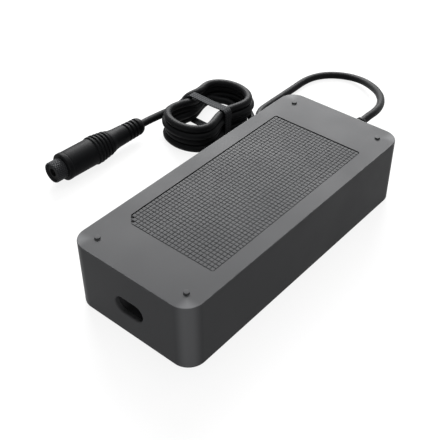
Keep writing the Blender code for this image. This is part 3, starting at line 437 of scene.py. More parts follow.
@dataclass(frozen=True)
class Finish:
    """One finish: a plain colour and gloss, with the grain, relief and wear of the real surface, and with
    painted highlight or painted shade where its pattern adds them.

    Attributes:
        name: The material's name.
        slot: The record's slot that it stands for; not used.
        colour: Base colour.
        light: Colour of its lighter places: wear, random tone and, where a pattern adds it, painted highlight.
        roughness: Middle roughness.
        gloss_spread: How far roughness changes over the surface.
        metallic: 1 for metal.
        specular: Specular level.
        coat: Weight of a clear coat.
        grains: Grains per metre.
        depth: Depth of the grain in metres.
        spread: How much the tone changes the colour.
        pattern: The relief besides the grain.
        pitch: The relief's pitch in metres.
        relief: The relief's depth in metres.
    """

    name: str
    slot: str
    colour: Colour
    light: Colour
    roughness: float
    gloss_spread: float = 0.08
    metallic: float = 0.0
    specular: float = 0.5
    coat: float = 0.0
    grains: float = 1800.0
    depth: float = 0.000012
    spread: float = 0.35
    pattern: Pattern = Pattern.PLAIN
    pitch: float = 0.001
    relief: float = 0.0001

    def material(self) -> bpy.types.Material:
        """Returns the finish's material, building it the first time."""
        found = bpy.data.materials.get(self.name)
        if found is not None:
            return found
        made = bpy.data.materials.new(self.name)
        made.use_nodes = True
        made.diffuse_color = (*self.colour, 1.0)
        bench = Bench(made.node_tree)
        shader = made.node_tree.nodes["Principled BSDF"]
        coordinates = bench.add("TexCoord").outputs
        grain = self._effect(bench, MouldGrain, coordinates["Object"], {"Grains": self.grains})
        tone = bench.times(grain["Tone"], self.spread)
        gloss = bench.times(bench.minus(grain["Polish"], 0.5), self.gloss_spread)
        heights = [(grain["Height"], self.depth)]
        if self.pattern in EFFECTS:
            source = coordinates["UV" if self.pattern in MAPPED else "Object"]
            values = {} if self.pattern is Pattern.DRAWN else {"Pitch": self.pitch}
            relief = self._effect(bench, EFFECTS[self.pattern], source, values)
            # The relief's tone darkens the grooves: painted shade for weave, crosshatch and wound turns, the
            # surface's own tone for drawn skin and board tracks.
            tone = bench.plus(bench.times(tone, GRAIN_SHARE),
                              bench.times(relief["Tone"], self.spread * RELIEF_SHARE), clamp=True)
            heights.append((relief["Height"], self.relief))
        # The rubbed rims are lighter with wear; the upright corners are lighter with a painted highlight.
        if self.pattern is Pattern.RIM:
            rim = self._effect(bench, RubbedRimAndCornerHighlight, coordinates["Object"], RIM_OF_HOUSING)
            wear_and_highlight = bench.maths("MAXIMUM", bench.times(rim["Mask"], RIM_TONE),
                               bench.times(rim["Corner Highlight"], CORNER_HIGHLIGHT_TONE))
            tone = bench.plus(tone, wear_and_highlight, clamp=True)
            gloss = bench.minus(gloss, bench.times(rim["Mask"], RIM_POLISH))
        mix = bench.add("Mix", data_type="RGBA")
        for name, value in (("Factor", tone), ("A", (*self.colour, 1.0)), ("B", (*self.light, 1.0))):
            bench.feed(mix.inputs[name], value)
        for name, value in (("Metallic", self.metallic), ("Specular IOR Level", self.specular),
                            ("Coat Weight", self.coat), ("Coat Roughness", COAT_ROUGHNESS),
                            ("Base Color", mix.outputs["Result"]),
                            ("Roughness", bench.plus(gloss, self.roughness, clamp=True)),
                            ("Normal", self._normal(bench, heights))):
            bench.feed(shader.inputs[name], value)
        return made

    @staticmethod
    def _normal(bench: Bench, heights: Sequence[tuple[Socket, float]]) -> Socket:
        """Chains one bump for each height.

        Args:
            bench: The material's bench.
            heights: Each height's socket and its depth in metres.

        Returns:
            The last bump's normal.
        """
        normal = None
        for height, depth in heights:
            bump = bench.add("Bump")
            bench.feed(bump.inputs["Height"], height)
            bench.feed(bump.inputs["Distance"], depth)
            if normal is not None:
                bench.feed(bump.inputs["Normal"], normal)
            normal = bump.outputs["Normal"]
        return normal

    @staticmethod
    def _effect(bench: Bench, effect: type[Effect], place: Socket,
                values: dict[str, float]) -> Sockets:
        """Places an effect's group in a material.

        Args:
            bench: The material's bench.
            effect: The effect.
            place: Where it is read.
            values: Values of its own inputs.

        Returns:
            The sockets of the group's outputs.
        """
        node = bench.add("Group")
        node.node_tree = effect.group()
        for name, value in {"Place": place, **values}.items():
            bench.feed(node.inputs[name], value)
        return node.outputs


# The shell's rims are lighter with wear, and its upright corners with a painted highlight.
SHELL = Finish("shell_grained_plastic", "charger_shell", (0.034, 0.0345, 0.036), (0.088, 0.089, 0.092), 0.46,
               specular=0.04, grains=2200.0, depth=0.000010, spread=0.20, pattern=Pattern.RIM)
PANEL = Finish("panel_nub_plastic", "panel_rubber", (0.034, 0.0345, 0.036), (0.060, 0.061, 0.063), 0.46,
               specular=0.04, grains=2600.0, depth=0.000008, spread=0.40)
BASE = Finish("base_matt_plastic", "base_plastic", (0.030, 0.030, 0.032), (0.050, 0.051, 0.053), 0.55,
              specular=0.15, grains=1500.0, depth=0.000018)
INLET = Finish("inlet_black_plastic", "inlet_plastic", (0.016, 0.016, 0.017), (0.034, 0.034, 0.036), 0.55,
               specular=0.12)
NICKEL = Finish("pin_plated_nickel", "pin_nickel", (0.60, 0.58, 0.54), (0.74, 0.73, 0.70), 0.24, metallic=1.0,
                grains=900.0, depth=0.000002, spread=0.6)
SCREW = Finish("screw_dark_steel", "screw_steel", (0.20, 0.20, 0.21), (0.42, 0.42, 0.43), 0.34, metallic=1.0,
               grains=1100.0, depth=0.000003, spread=0.6)
CORD = Finish("cord_drawn_sheath", "cord_rubber", (0.0036, 0.0038, 0.0042), (0.0085, 0.0089, 0.0096), 0.54,
              specular=0.06, grains=2400.0, depth=0.000006, pattern=Pattern.DRAWN, relief=0.00003)
BOOT = Finish("boot_soft_plastic", "boot_rubber", (0.0065, 0.0066, 0.0071), (0.015, 0.0155, 0.0165), 0.52,
              specular=0.12)
TAPE = Finish("tie_woven_tape", "strap_fabric", (0.0025, 0.0026, 0.0029), (0.066, 0.068, 0.071), 0.85,
              specular=0.06, depth=0.000008, spread=0.62, pattern=Pattern.WEAVE, pitch=0.00160,
              relief=0.00016)
GRIP = Finish("grip_satin_plastic", "grip_plastic", (0.0036, 0.0038, 0.0042), (0.0085, 0.0088, 0.0095), 0.50,
              specular=0.035, grains=2000.0, depth=0.000006)
SLEEVE = Finish("sleeve_hatched_plastic", "sleeve_plastic", (0.0026, 0.0028, 0.0031),
                (0.026, 0.027, 0.029), 0.50, specular=0.06, depth=0.000006, spread=0.6,
                pattern=Pattern.HATCH, pitch=0.00145, relief=0.00022)
INSULATOR = Finish("insulator_black_plastic", "insulator_plastic", (0.003, 0.003, 0.0033),
                   (0.007, 0.007, 0.0077), 0.55, specular=0.05)
LENS = Finish("lamp_milky_lens", "lamp_lens", (0.52, 0.57, 0.52), (0.66, 0.70, 0.66), 0.22, coat=0.3,
              grains=700.0, depth=0.000003, spread=0.3)
BOARD = Finish("board_green_laminate", "board_laminate", (0.016, 0.090, 0.038), (0.040, 0.160, 0.070), 0.42,
               coat=0.25, pattern=Pattern.TRACKS, pitch=0.0040, relief=0.00003)
CERAMIC = Finish("fuse_white_ceramic", "fuse_ceramic", (0.66, 0.64, 0.58), (0.78, 0.76, 0.71), 0.34, coat=0.2)
COPPER = Finish("winding_enamelled_copper", "winding_copper", (0.34, 0.12, 0.045), (0.68, 0.30, 0.14), 0.30,
                metallic=1.0, pattern=Pattern.WOUND, pitch=0.0009, relief=0.0002, spread=0.6)
FERRITE = Finish("core_dark_ferrite", "core_ferrite", (0.026, 0.026, 0.029), (0.060, 0.060, 0.064), 0.62)
FILM = Finish("capacitor_yellow_case", "capacitor_film", (0.50, 0.36, 0.05), (0.62, 0.47, 0.10), 0.40)
CAN = Finish("capacitor_shrunk_sleeve", "capacitor_sleeve", (0.014, 0.019, 0.050), (0.030, 0.038, 0.085),
             0.30, coat=0.3)
DISC = Finish("capacitor_blue_disc", "capacitor_disc", (0.035, 0.11, 0.32), (0.07, 0.18, 0.42), 0.38,
              coat=0.3)
EPOXY = Finish("component_black_epoxy", "component_epoxy", (0.013, 0.013, 0.014), (0.034, 0.034, 0.036), 0.5,
               grains=2600.0, depth=0.000014)
SINK = Finish("sink_plain_aluminium", "sink_aluminium", (0.50, 0.51, 0.52), (0.70, 0.71, 0.72), 0.36,
              metallic=1.0, grains=900.0, depth=0.000004, spread=0.6)
YELLOW_TAPE = Finish("transformer_yellow_tape", "transformer_tape", (0.55, 0.43, 0.06), (0.70, 0.60, 0.14),
                     0.36, coat=0.3, pattern=Pattern.WOUND, pitch=0.0060, relief=0.00006)
SHEET = Finish("insulation_plain_sheet", "insulation_sheet", (0.62, 0.62, 0.58), (0.74, 0.74, 0.71), 0.46)
RED_WIRE = Finish("wire_red_sleeve", "wire_red", (0.38, 0.014, 0.014), (0.50, 0.04, 0.04), 0.36, coat=0.2)
BLACK_WIRE = Finish("wire_black_sleeve", "wire_black", (0.012, 0.012, 0.012), (0.030, 0.030, 0.031), 0.36,
                    coat=0.2)

CARRIED_NODES: dict[str, Finish] = {
    "inlet_body": INLET, "circuit_board": BOARD, "insulation_sheet": SHEET, "mains_fuse": CERAMIC,
    "filter_choke_winding": COPPER, "filter_choke_divider": EPOXY, "film_capacitor": FILM,
    "bridge_rectifier": EPOXY, "bulk_capacitor": CAN, "primary_heat_sink": SINK, "switch_transistor": EPOXY,
    "transformer_core": FERRITE, "transformer_winding": YELLOW_TAPE, "secondary_heat_sink": SINK,
    "output_rectifier": EPOXY, "output_capacitor_1": CAN, "output_capacitor_2": CAN, "output_choke": COPPER,
    "safety_capacitor": DISC, "optocoupler": EPOXY, "control_chip": EPOXY, "inlet_wire_left": BLACK_WIRE,
    "inlet_wire_right": RED_WIRE, "output_wire_negative": BLACK_WIRE, "output_wire_positive": RED_WIRE,
}


# Shaping

# Points between two of a smooth line's points, and how strongly large faces keep their own normals
LINE_STEPS = 16
FLAT_FACE_WEIGHT = 80

# Where a tool that cuts through the underside ends
BELOW = -0.001


def turn_to(direction: Vector, origin: Point) -> Matrix:
    """The place with that origin whose Z axis points along the direction."""
    return Matrix.Translation(origin) @ direction.to_track_quat("Z", "Y").to_matrix().to_4x4()


def softened(corners: Sequence[Corner], steps: int = 4) -> list[tuple[float, float]]:
    """Rounds the corners of a profile.

    Args:
        corners: Radius, height and rounding radius of each corner, in order.
        steps: Segments of each rounding.

    Returns:
        The profile's points.
    """
    flat = [Vector((corner[0], corner[1])) for corner in corners]
    result = [tuple(flat[0])]
    for index in range(1, len(flat) - 1):
        here, size = flat[index], corners[index][2]
        back, ahead = flat[index - 1] - here, flat[index + 1] - here
        reach = min(size, back.length * 0.49, ahead.length * 0.49)
        if reach <= 0:
            result.append(tuple(here))
            continue
        first, last = here + back.normalized() * reach, here + ahead.normalized() * reach
        for step in range(steps + 1):
            t = step / steps
            result.append(tuple(first * (1 - t) ** 2 + here * 2 * t * (1 - t) + last * t ** 2))
    result.append(tuple(flat[-1]))
    return result


def rod(radius: float, low: float, high: float) -> list[tuple[float, float]]:
    """Profile of a plain rod between two levels."""
    return [(0, high), (radius, high), (radius, low), (0, low)]


def turned(profile: Profile, place: Matrix, steps: int = 64) -> Mesh:
    """Spins a profile round the Z axis and lays it in its place, with a map in metres round and along it.

    Args:
        profile: Radius and height of each point, from one end to the other.
        place: Where the turned piece goes.
        steps: Segments round it.

    Returns:
        The mesh.
    """
    bm = bmesh.new()
    dots = [bm.verts.new((radius, 0.0, height)) for radius, height in profile]
    lines = [bm.edges.new(pair) for pair in zip(dots, dots[1:])]
    bmesh.ops.spin(bm, geom=dots + lines, cent=(0, 0, 0), axis=(0, 0, 1), angle=2 * math.pi, steps=steps,
                   use_merge=True)
    bmesh.ops.remove_doubles(bm, verts=bm.verts, dist=1e-7)
    bmesh.ops.recalc_face_normals(bm, faces=bm.faces)
    widest = max(radius for radius, _ in profile)
    layer = bm.loops.layers.uv.new("surface")
    for face in bm.faces:
        middle = face.calc_center_median()
        centre_angle = math.atan2(middle.y, middle.x)
        for loop in face.loops:
            spot = loop.vert.co
            angle = math.atan2(spot.y, spot.x) if spot.xy.length > 1e-6 else centre_angle
            angle += 2 * math.pi * round((centre_angle - angle) / (2 * math.pi))
            loop[layer].uv = (angle * widest, spot.z)
    bmesh.ops.transform(bm, matrix=place, verts=bm.verts)
    return bm


def standing(bm: Mesh) -> list[bmesh.types.BMEdge]:
    """The edges that run mostly up and down."""
    ends = ((edge, edge.verts[0].co - edge.verts[1].co) for edge in bm.edges)
    return [edge for edge, run in ends if abs(run.z) > run.length / 2]


def round_edges(bm: Mesh, edges: Sequence[bmesh.types.BMEdge], radius: float, steps: int) -> None:
    """Rounds edges of a mesh, or cuts them off flat with one step.

    Args:
        bm: The mesh.
        edges: The edges.
        radius: The rounding's radius.
        steps: Its segments.
    """
    bmesh.ops.bevel(bm, geom=edges, offset=radius, segments=steps, profile=0.5, affect="EDGES", material=-1)


def rounded_block(size: Point, middle: Point, corner: float = 0.0, corner_steps: int = 16, rim: float = 0.0,
                  rim_steps: int = 3) -> Mesh:
    """A block with rounded upright corners and softened rims.

    Args:
        size: Its size.
        middle: Its middle.
        corner: Radius of the upright corners.
        corner_steps: Segments of each upright corner.
        rim: Radius along the upper and lower rims.
        rim_steps: Segments of the rims.

    Returns:
        The mesh.
    """
    bm = bmesh.new()
    bmesh.ops.create_cube(bm, size=1.0)
    bmesh.ops.scale(bm, vec=size, verts=bm.verts)
    if corner > 0:
        round_edges(bm, standing(bm), corner, corner_steps)
    if rim > 0:
        bm.normal_update()
        around = [edge for edge in bm.edges
                  if len({abs(face.normal.z) > 0.5 for face in edge.link_faces}) == 2]
        round_edges(bm, around, rim, rim_steps)
    bmesh.ops.translate(bm, vec=middle, verts=bm.verts)
    return bm


def pill(width: float, height: float, stations: Sequence[tuple[float, float]],
         middle: Point) -> Mesh:
    """A pill-shaped plug along +Y, its outline widened or narrowed at each station.

    Args:
        width: Width of the pill along X.
        height: Height of the pill along Z.
        stations: How far along Y from the middle, and how much wider all round, for each outline.
        middle: The point that the stations are measured from.

    Returns:
        The closed mesh.
    """
    bm = bmesh.new()
    lobe = (width - height) / 2
    ring = bmesh.ops.create_circle(bm, cap_ends=True, segments=64, radius=height / 2)["verts"]
    outline = []
    for vert in ring:
        outward = vert.co.normalized()
        vert.co.x += lobe if vert.co.x >= 0 else -lobe
        outline.append((vert.co.copy(), outward))
    caps = bm.faces[:]
    for index, (along, wider) in enumerate(stations):
        if index > 0:
            last = [vert.co.copy() for vert in ring]
            grown = bmesh.ops.extrude_face_region(bm, geom=caps)["geom"]
            fresh = [item for item in grown if isinstance(item, bmesh.types.BMVert)]
            if index > 1:
                bmesh.ops.delete(bm, geom=caps, context="FACES_ONLY")
            caps = [item for item in grown if isinstance(item, bmesh.types.BMFace)]
            ring = [min(fresh, key=lambda vert, spot=spot: (vert.co - spot).length) for spot in last]
        for vert, (spot, outward) in zip(ring, outline):
            vert.co = spot + outward * wider + Vector((0, 0, along))
    bmesh.ops.recalc_face_normals(bm, faces=bm.faces)
    lay = Matrix.Translation(middle) @ Matrix.Rotation(-math.pi / 2, 4, "X")
    bmesh.ops.transform(bm, matrix=lay, verts=bm.verts)
    return bm


def placed(name: str, data: bpy.types.ID) -> Piece:
    """Adds an object with that name and data to the scene."""
    made = bpy.data.objects.new(name, data)
    bpy.context.scene.collection.objects.link(made)
    return made


def bare(bm: Mesh, name: str) -> Piece:
    """Makes an object without a finish, such as a tool, from a mesh, and frees the mesh."""
    mesh = bpy.data.meshes.new(name)
    bm.to_mesh(mesh)
    bm.free()
    return placed(name, mesh)


def lathe(profile: Profile, place: Matrix, steps: int, name: str) -> Piece:
    """Makes an object without a finish by turning a profile in its place."""
    return bare(turned(profile, place, steps), name)


def evaluated(made: Piece) -> bpy.types.Mesh:
    """The mesh that an object's modifiers or curve give."""
    bpy.context.view_layer.update()
    return bpy.data.meshes.new_from_object(made.evaluated_get(bpy.context.evaluated_depsgraph_get()))


def dress(made: Piece, finish: Finish, nodes: Sequence[str], crease: float = 34.0,
          weighted: bool = False) -> Piece:
    """Gives an object its finish, its shading and its body, and hides the CAD nodes that it stands for.

    Args:
        made: The object.
        finish: Its finish.
        nodes: The CAD nodes that it stands for.
        crease: Angle in degrees past which an edge stays sharp.
        weighted: Whether large flat faces keep their own normals.

    Returns:
        The same object.
    """
    made.data.materials.clear()
    made.data.materials.append(finish.material())
    made.data.shade_smooth()
    made.data.set_sharp_from_angle(angle=math.radians(crease))
    if weighted:
        step = made.modifiers.new("flat_faces", "WEIGHTED_NORMAL")
        step.keep_sharp = True
        step.weight = FLAT_FACE_WEIGHT
    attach(made, "root")
    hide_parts(*nodes)
    LOG.info("%s: %s", made.name, finish.name)
    return made


def worked(made: Piece, tools: Sequence[tuple[Piece, Act]]) -> None:
    """Cuts tools out of a mesh object, or joins them to it, in order, and removes them.

    Args:
        made: The object to change.
        tools: Each tool and how it acts.
    """
    for tool, act in tools:
        step = made.modifiers.new("work", "BOOLEAN")
        step.operation = act.value
        step.solver = "EXACT"
        step.object = tool
    fresh = evaluated(made)
    made.modifiers.clear()
    made.data = fresh
    for tool, _ in tools:
        bpy.data.objects.remove(tool, do_unlink=True)


def smooth_line(points: Sequence[Point], spacing: float) -> list[Vector]:
    """Points at an even spacing on a smooth curve through the given points.

    Args:
        points: The points that the curve passes through.
        spacing: About how far apart the result's points are.

    Returns:
        The evenly spaced points.
    """
    dots = [Vector(point) for point in points]
    chain = [dots[0] * 2 - dots[1]] + dots + [dots[-1] * 2 - dots[-2]]
    fine: list[Vector] = []
    for p0, p1, p2, p3 in zip(chain, chain[1:], chain[2:], chain[3:]):
        knots = [0.0]
        for first, second in ((p0, p1), (p1, p2), (p2, p3)):
            knots.append(knots[-1] + max(1e-9, (second - first).length) ** 0.5)
        for step in range(LINE_STEPS):
            t = knots[1] + (knots[2] - knots[1]) * step / LINE_STEPS
            fine.append(through(t, knots, (p0, p1, p2, p3)))
    fine.append(dots[-1])
    lengths = distances(fine)
    count = max(2, round(lengths[-1] / spacing))
    even, index = [], 0
    for number in range(count + 1):
        target = lengths[-1] * number / count
        while index < len(lengths) - 2 and lengths[index + 1] < target:
            index += 1
        span = max(1e-12, lengths[index + 1] - lengths[index])
        even.append(fine[index].lerp(fine[index + 1], (target - lengths[index]) / span))
    return even


def through(t: float, knots: Sequence[float], spots: Sequence[Vector]) -> Vector:
    """A point of the smooth curve through four points, at a knot value between the middle two.

    Args:
        t: The knot value.
        knots: The four knots.
        spots: The four points.

    Returns:
        The point.
    """
    level = list(spots)
    for order in (1, 2, 3):
        following = []
        for index in range(len(level) - 1):
            low, high = knots[index], knots[index + order]
            if order == 3:
                low, high = knots[1], knots[2]
            share = (t - low) / (high - low)
            following.append(level[index].lerp(level[index + 1], share))
        level = following
    return level[0]


def distances(line: Sequence[Vector]) -> list[float]:
    """How far along a line each of its points lies."""
    steps = ((second - first).length for first, second in zip(line, line[1:]))
    return list(accumulate(steps, initial=0.0))


# The charger's pieces


@dataclass
class Housing:
    """The moulded shell: rounded upright corners, crisp top edge, recess, pips, bosses and openings."""

    length: float = 0.1617
    width: float = 0.0700
    height: float = 0.0358
    corner: float = 0.0090
    rim: float = 0.00045
    wall: float = 0.0024
    roof: float = 0.0040
    boss_radius: float = 0.0037
    boss_bottom: float = 0.0029
    pilot_radius: float = 0.0018
    pilot_top: float = 0.0146
    pip_radius: float = 0.00135
    pip_height: float = 0.0008
    pip_rounding: float = 0.00020
    mouth_width: float = 0.0164
    mouth_height: float = 0.0088
    mouth_level: float = 0.0159
    mouth_rounding: float = 0.0007
    mouth_steps: int = 6
    boot_hole: tuple[float, float] = (0.0049, 0.0004)
    lamp_hole: tuple[float, float] = (0.0018, 0.0002)
    lamp_x: float = 0.0200
    exit_level: float = 0.0204
    recess_floor: float = 0.0348
    recess_half: tuple[float, float] = (0.0262, 0.05578)
    recess_corner: float = 0.0012
    recess_chamfer: float = 0.0046

    @property
    def end(self) -> float:
        """How far the end walls stand from the middle."""
        return self.length / 2

    def corner_spots(self) -> list[tuple[float, float]]:
        """Centres of the corner arcs."""
        x, y = self.width / 2 - self.corner, self.end - self.corner
        return [(sx * x, sy * y) for sx in (-1, 1) for sy in (-1, 1)]

    def cavity(self) -> Piece:
        """Tool for the inside, open below."""
        room = 2 * (self.height - self.roof)
        size = (self.width - 2 * self.wall, self.length - 2 * self.wall, room)
        return bare(rounded_block(size, (0, 0, 0), self.corner - self.wall, 14), "tool_cavity")

    def recess(self) -> Piece:
        """Tool for the panel's recess, with rounded corners and one corner cut off."""
        half_x, half_y = self.recess_half
        depth = 2 * (self.height - self.recess_floor)
        bm = bmesh.new()
        bmesh.ops.create_cube(bm, size=1.0)
        bmesh.ops.scale(bm, vec=(2 * half_x, 2 * half_y, depth), verts=bm.verts)
        first = [edge for edge in standing(bm) if edge.verts[0].co.x < 0 and edge.verts[0].co.y < 0]
        round_edges(bm, first, self.recess_chamfer, 1)
        others = [edge for edge in standing(bm) if edge.verts[0].co.x > 0 or edge.verts[0].co.y > 0]
        round_edges(bm, others, self.recess_corner, 6)
        bmesh.ops.translate(bm, vec=(0, 0, self.height), verts=bm.verts)
        return bare(bm, "tool_recess")

    def mouth(self) -> Piece:
        """Tool for the mains opening, with a rounded rim."""
        soft = self.mouth_rounding
        stations = [(-self.wall, soft)]
        for step in range(self.mouth_steps + 1):
            depth = soft * step / self.mouth_steps
            stations.append((depth, soft - math.sqrt(max(0.0, soft ** 2 - (soft - depth) ** 2))))
        stations.append((2 * self.wall, 0.0))
        middle = (0, -self.end, self.mouth_level)
        return bare(pill(self.mouth_width, self.mouth_height, stations, middle), "tool_mouth")

    def hole(self, radius: float, soft: float, spot: Point) -> Piece:
        """Tool for a round hole through the cord's end wall, with a softened rim.

        Args:
            radius: The hole's radius.
            soft: Radius of its rim.
            spot: Its centre on the wall's outside.

        Returns:
            The tool.
        """
        wide, deep = radius + soft, -3 * self.wall
        profile = [(0, self.wall), (wide, self.wall), (wide, 0.0), (radius + soft * 0.3, -soft * 0.3),
                   (radius, -soft), (radius, deep), (0, deep)]
        return lathe(profile, turn_to(ALONG_Y, spot), 48, "tool_hole")

    def bosses(self) -> list[tuple[Piece, Act]]:
        """Tools for the four screw bosses and their pilot holes."""
        tools = []
        top = self.height - self.roof + self.roof / 3
        for x, y in self.corner_spots():
            place = Matrix.Translation((x, y, 0))
            boss = rod(self.boss_radius, self.boss_bottom, top)
            pilot = rod(self.pilot_radius, BELOW, self.pilot_top)
            tools.append((lathe(boss, place, 32, "tool_boss"), Act.ADD))
            tools.append((lathe(pilot, place, 24, "tool_pilot"), Act.CUT))
        return tools

    def pips(self) -> list[tuple[Piece, Act]]:
        """Tools for the four raised pips on the top."""
        tools = []
        radius, tall, root = self.pip_radius, self.pip_height, -self.roof / 3
        profile = softened([(0, tall, 0), (radius, tall, self.pip_rounding), (radius, 0, 0),
                            (radius, root, 0), (0, root, 0)], 5)
        for x, y in self.corner_spots():
            place = Matrix.Translation((x, y, self.height))
            tools.append((lathe(profile, place, 36, "tool_pip"), Act.ADD))
        return tools

    def build(self) -> Piece:
        """Builds the shell and returns it."""
        size = (self.width, self.length, self.height)
        block = rounded_block(size, (0, 0, self.height / 2), self.corner, 20, self.rim, 3)
        shell = bare(block, "housing_shell")
        exit_spot, lamp_spot = ((x, self.end, self.exit_level) for x in (0.0, self.lamp_x))
        worked(shell, [(self.cavity(), Act.CUT), *self.bosses(), (self.recess(), Act.CUT), *self.pips(),
                       (self.mouth(), Act.CUT), (self.hole(*self.boot_hole, exit_spot), Act.CUT),
                       (self.hole(*self.lamp_hole, lamp_spot), Act.CUT)])
        return dress(shell, SHELL, ["housing"], 28.0, True)


@dataclass
class TexturePanel:
    """The pad of small square nubs in the top's recess."""

    columns: int = 25
    rows: int = 54
    pitch: tuple[float, float] = (0.00207, 0.00205)
    groove_level: float = 0.03530
    groove: float = 0.00010
    flank: float = 0.00009
    crown: float = 0.00013
    rise: float = 0.00020
    swell: float = 0.00005
    thickness: float = 0.0004
    cut_corner: int = 2

    def build(self) -> Piece:
        """Builds the pad and returns it."""
        bm = bmesh.new()
        bmesh.ops.create_grid(bm, x_segments=self.columns, y_segments=self.rows, size=0.5)
        step_x, step_y = self.pitch
        size = (self.columns * step_x, self.rows * step_y)
        bmesh.ops.scale(bm, vec=(*size, 1.0), verts=bm.verts)
        gone = []
        for face in bm.faces:
            middle = face.calc_center_median()
            column = int((middle.x + size[0] / 2) / step_x)
            row = int((middle.y + size[1] / 2) / step_y)
            if column + row < self.cut_corner:
                gone.append(face)
        bmesh.ops.delete(bm, geom=gone, context="FACES")
        cells = bm.faces[:]
        rim = [edge for edge in bm.edges if edge.is_boundary]
        skirt = bmesh.ops.extrude_edge_only(bm, edges=rim)["geom"]
        low = [item for item in skirt if isinstance(item, bmesh.types.BMVert)]
        bmesh.ops.translate(bm, vec=(0, 0, -self.thickness), verts=low)
        for thickness, depth in ((self.groove, 0.0), (self.flank, self.rise), (self.crown, self.swell)):
            bmesh.ops.inset_individual(bm, faces=cells, thickness=thickness, depth=depth,
                                       use_even_offset=True)
        border = [edge for edge in bm.edges if edge.is_boundary]
        bmesh.ops.triangle_fill(bm, edges=border, use_beauty=True)
        bmesh.ops.recalc_face_normals(bm, faces=bm.faces)
        bmesh.ops.translate(bm, vec=(0, 0, self.groove_level), verts=bm.verts)
        return dress(bare(bm, "nub_pad"), PANEL, ["texture_panel"], 40.0, True)


@dataclass
class Base:
    """The base plate's underside and its four screws."""

    width: float = 0.0646
    length: float = 0.1563
    thickness: float = 0.0026
    corner: float = 0.0063
    rim: float = 0.0003
    screw_spots: tuple[float, float] = (0.0260, 0.07185)
    head_radius: float = 0.0028
    shank_radius: float = 0.0015
    screw_length: float = 0.0120
    head_depth: float = 0.0016
    thread_pitch: float = 0.0008
    thread_depth: float = 0.0003
    point: float = 0.35
    head_edge: tuple[float, float] = (0.00012, 0.00025)
    slot: Point = (0.0034, 0.0007, 0.0018)
    slot_turn: float = 0.4
    gap: float = 0.0003
    post_spots: tuple[tuple[float, float], ...] = ((0.0235, -0.05655), (0.0235, 0.06065))
    post_radius: float = 0.0030
    post_top: float = 0.0062
    post_root: float = 0.001
    pin_radius: float = 0.0013
    pin_top: float = 0.0078

    def spots(self) -> list[tuple[float, float]]:
        """Where the screws are."""
        x, y = self.screw_spots
        return [(sx * x, sy * y) for sy in (-1, 1) for sx in (-1, 1)]

    def build(self) -> list[Piece]:
        """Builds the plate and its screws, and returns them."""
        middle = (0, 0, self.thickness / 2)
        plate = bare(rounded_block((self.width, self.length, self.thickness), middle, self.corner, 14,
                                   self.rim, 2), "base_cover")
        tools = []
        pin, top, root = self.pin_radius, self.post_top, self.post_root
        post = [(0, self.pin_top), (pin, self.pin_top), (pin, top), (self.post_radius, top),
                (self.post_radius, root), (0, root)]
        for x, y in self.post_spots:
            for side in (-1, 1):
                place = Matrix.Translation((side * x, y, 0))
                tools.append((lathe(post, place, 24, "tool_post"), Act.ADD))
        head, neck = self.head_radius + self.gap, self.shank_radius + self.gap
        sink = [(0, top), (neck, top), (neck, self.head_depth + 2 * self.gap), (head, self.gap),
                (head + 0.0001, BELOW), (0, BELOW)]
        for x, y in self.spots():
            place = Matrix.Translation((x, y, 0))
            tools.append((lathe(sink, place, 40, "tool_sink"), Act.CUT))
        worked(plate, tools)
        made = [dress(plate, BASE, ["base_plate"], 30.0, True)]
        for number, (x, y) in enumerate(self.spots(), 1):
            made.append(self.screw(number, x, y))
        return made

    def screw(self, number: int, x: float, y: float) -> Piece:
        """Builds one countersunk cross-head screw.

        Args:
            number: Its number.
            x: Its place along X.
            y: Its place along Y.

        Returns:
            The screw.
        """
        place = Matrix.Translation((x, y, self.gap))
        shank, head, pitch = self.shank_radius, self.head_radius, self.thread_pitch
        level, bottom = self.screw_length - self.head_depth, self.head_depth + pitch
        profile = [(0, self.screw_length), (shank * self.point, self.screw_length)]
        while level - pitch > bottom:
            profile += [(shank, level), (shank - self.thread_depth, level - pitch / 2)]
            level -= pitch
        profile += [(shank, bottom), (shank, self.head_depth), (head, self.head_edge[1]),
                    (head - self.head_edge[0], 0), (0, 0)]
        body = lathe(profile, place, 36, f"cross_screw_{number}")
        tools = []
        for turn in (0.0, math.pi / 2):
            slot = rounded_block(self.slot, (0, 0, 0), 0.0003, 3)
            angle = Matrix.Rotation(turn + self.slot_turn * number, 4, "Z")
            bmesh.ops.transform(slot, matrix=place @ angle, verts=slot.verts)
            tools.append((bare(slot, "tool_slot"), Act.CUT))
        worked(body, tools)
        return dress(body, SCREW, [f"base_screw_{number}"], 30.0)


@dataclass
class InletPins:
    """The two round pins of the mains inlet, with narrower round tabs behind."""

    spacing: float = 0.0086
    radius: float = 0.0012
    tip: float = -0.07685
    back: float = -0.06475
    tab: float = 0.0050
    level: float = 0.0159

    def build(self) -> list[Piece]:
        """Builds both pins and returns them."""
        length, tab = self.back - self.tip, self.radius * 0.6
        profile = softened([(0, length + self.tab, 0), (tab, length + self.tab, 0.0001),
                            (tab, length + self.radius, 0), (self.radius, length, 0),
                            (self.radius, 0, 0.0010), (0, 0, 0)], 6)
        made = []
        for side, name in ((-1, "left"), (1, "right")):
            place = turn_to(ALONG_Y, (side * self.spacing / 2, self.tip, self.level))
            pin = lathe(profile, place, 32, f"inlet_contact_{name}")
            made.append(dress(pin, NICKEL, [f"inlet_pin_{name}"]))
        return made


@dataclass
class StatusLamp:
    """The status lamp's lens in the cord's end wall."""

    x: float = 0.0200
    level: float = 0.0204
    end: float = 0.08085
    radius: float = 0.0015
    depth: float = 0.0038

    def build(self) -> Piece:
        """Builds the lens and returns it."""
        collar, shelf = self.radius + 0.0007, -self.depth + 0.0011
        profile = softened([(0, 0.0001, 0), (self.radius * 0.5, 0.00005, 0), (self.radius, -0.0002, 0.0004),
                            (self.radius, shelf, 0), (collar, shelf, 0), (collar, -self.depth, 0),
                            (0, -self.depth, 0)], 5)
        place = turn_to(ALONG_Y, (self.x, self.end - 0.0001, self.level))
        return dress(lathe(profile, place, 40, "lamp_lens_round"), LENS, ["status_lens"])


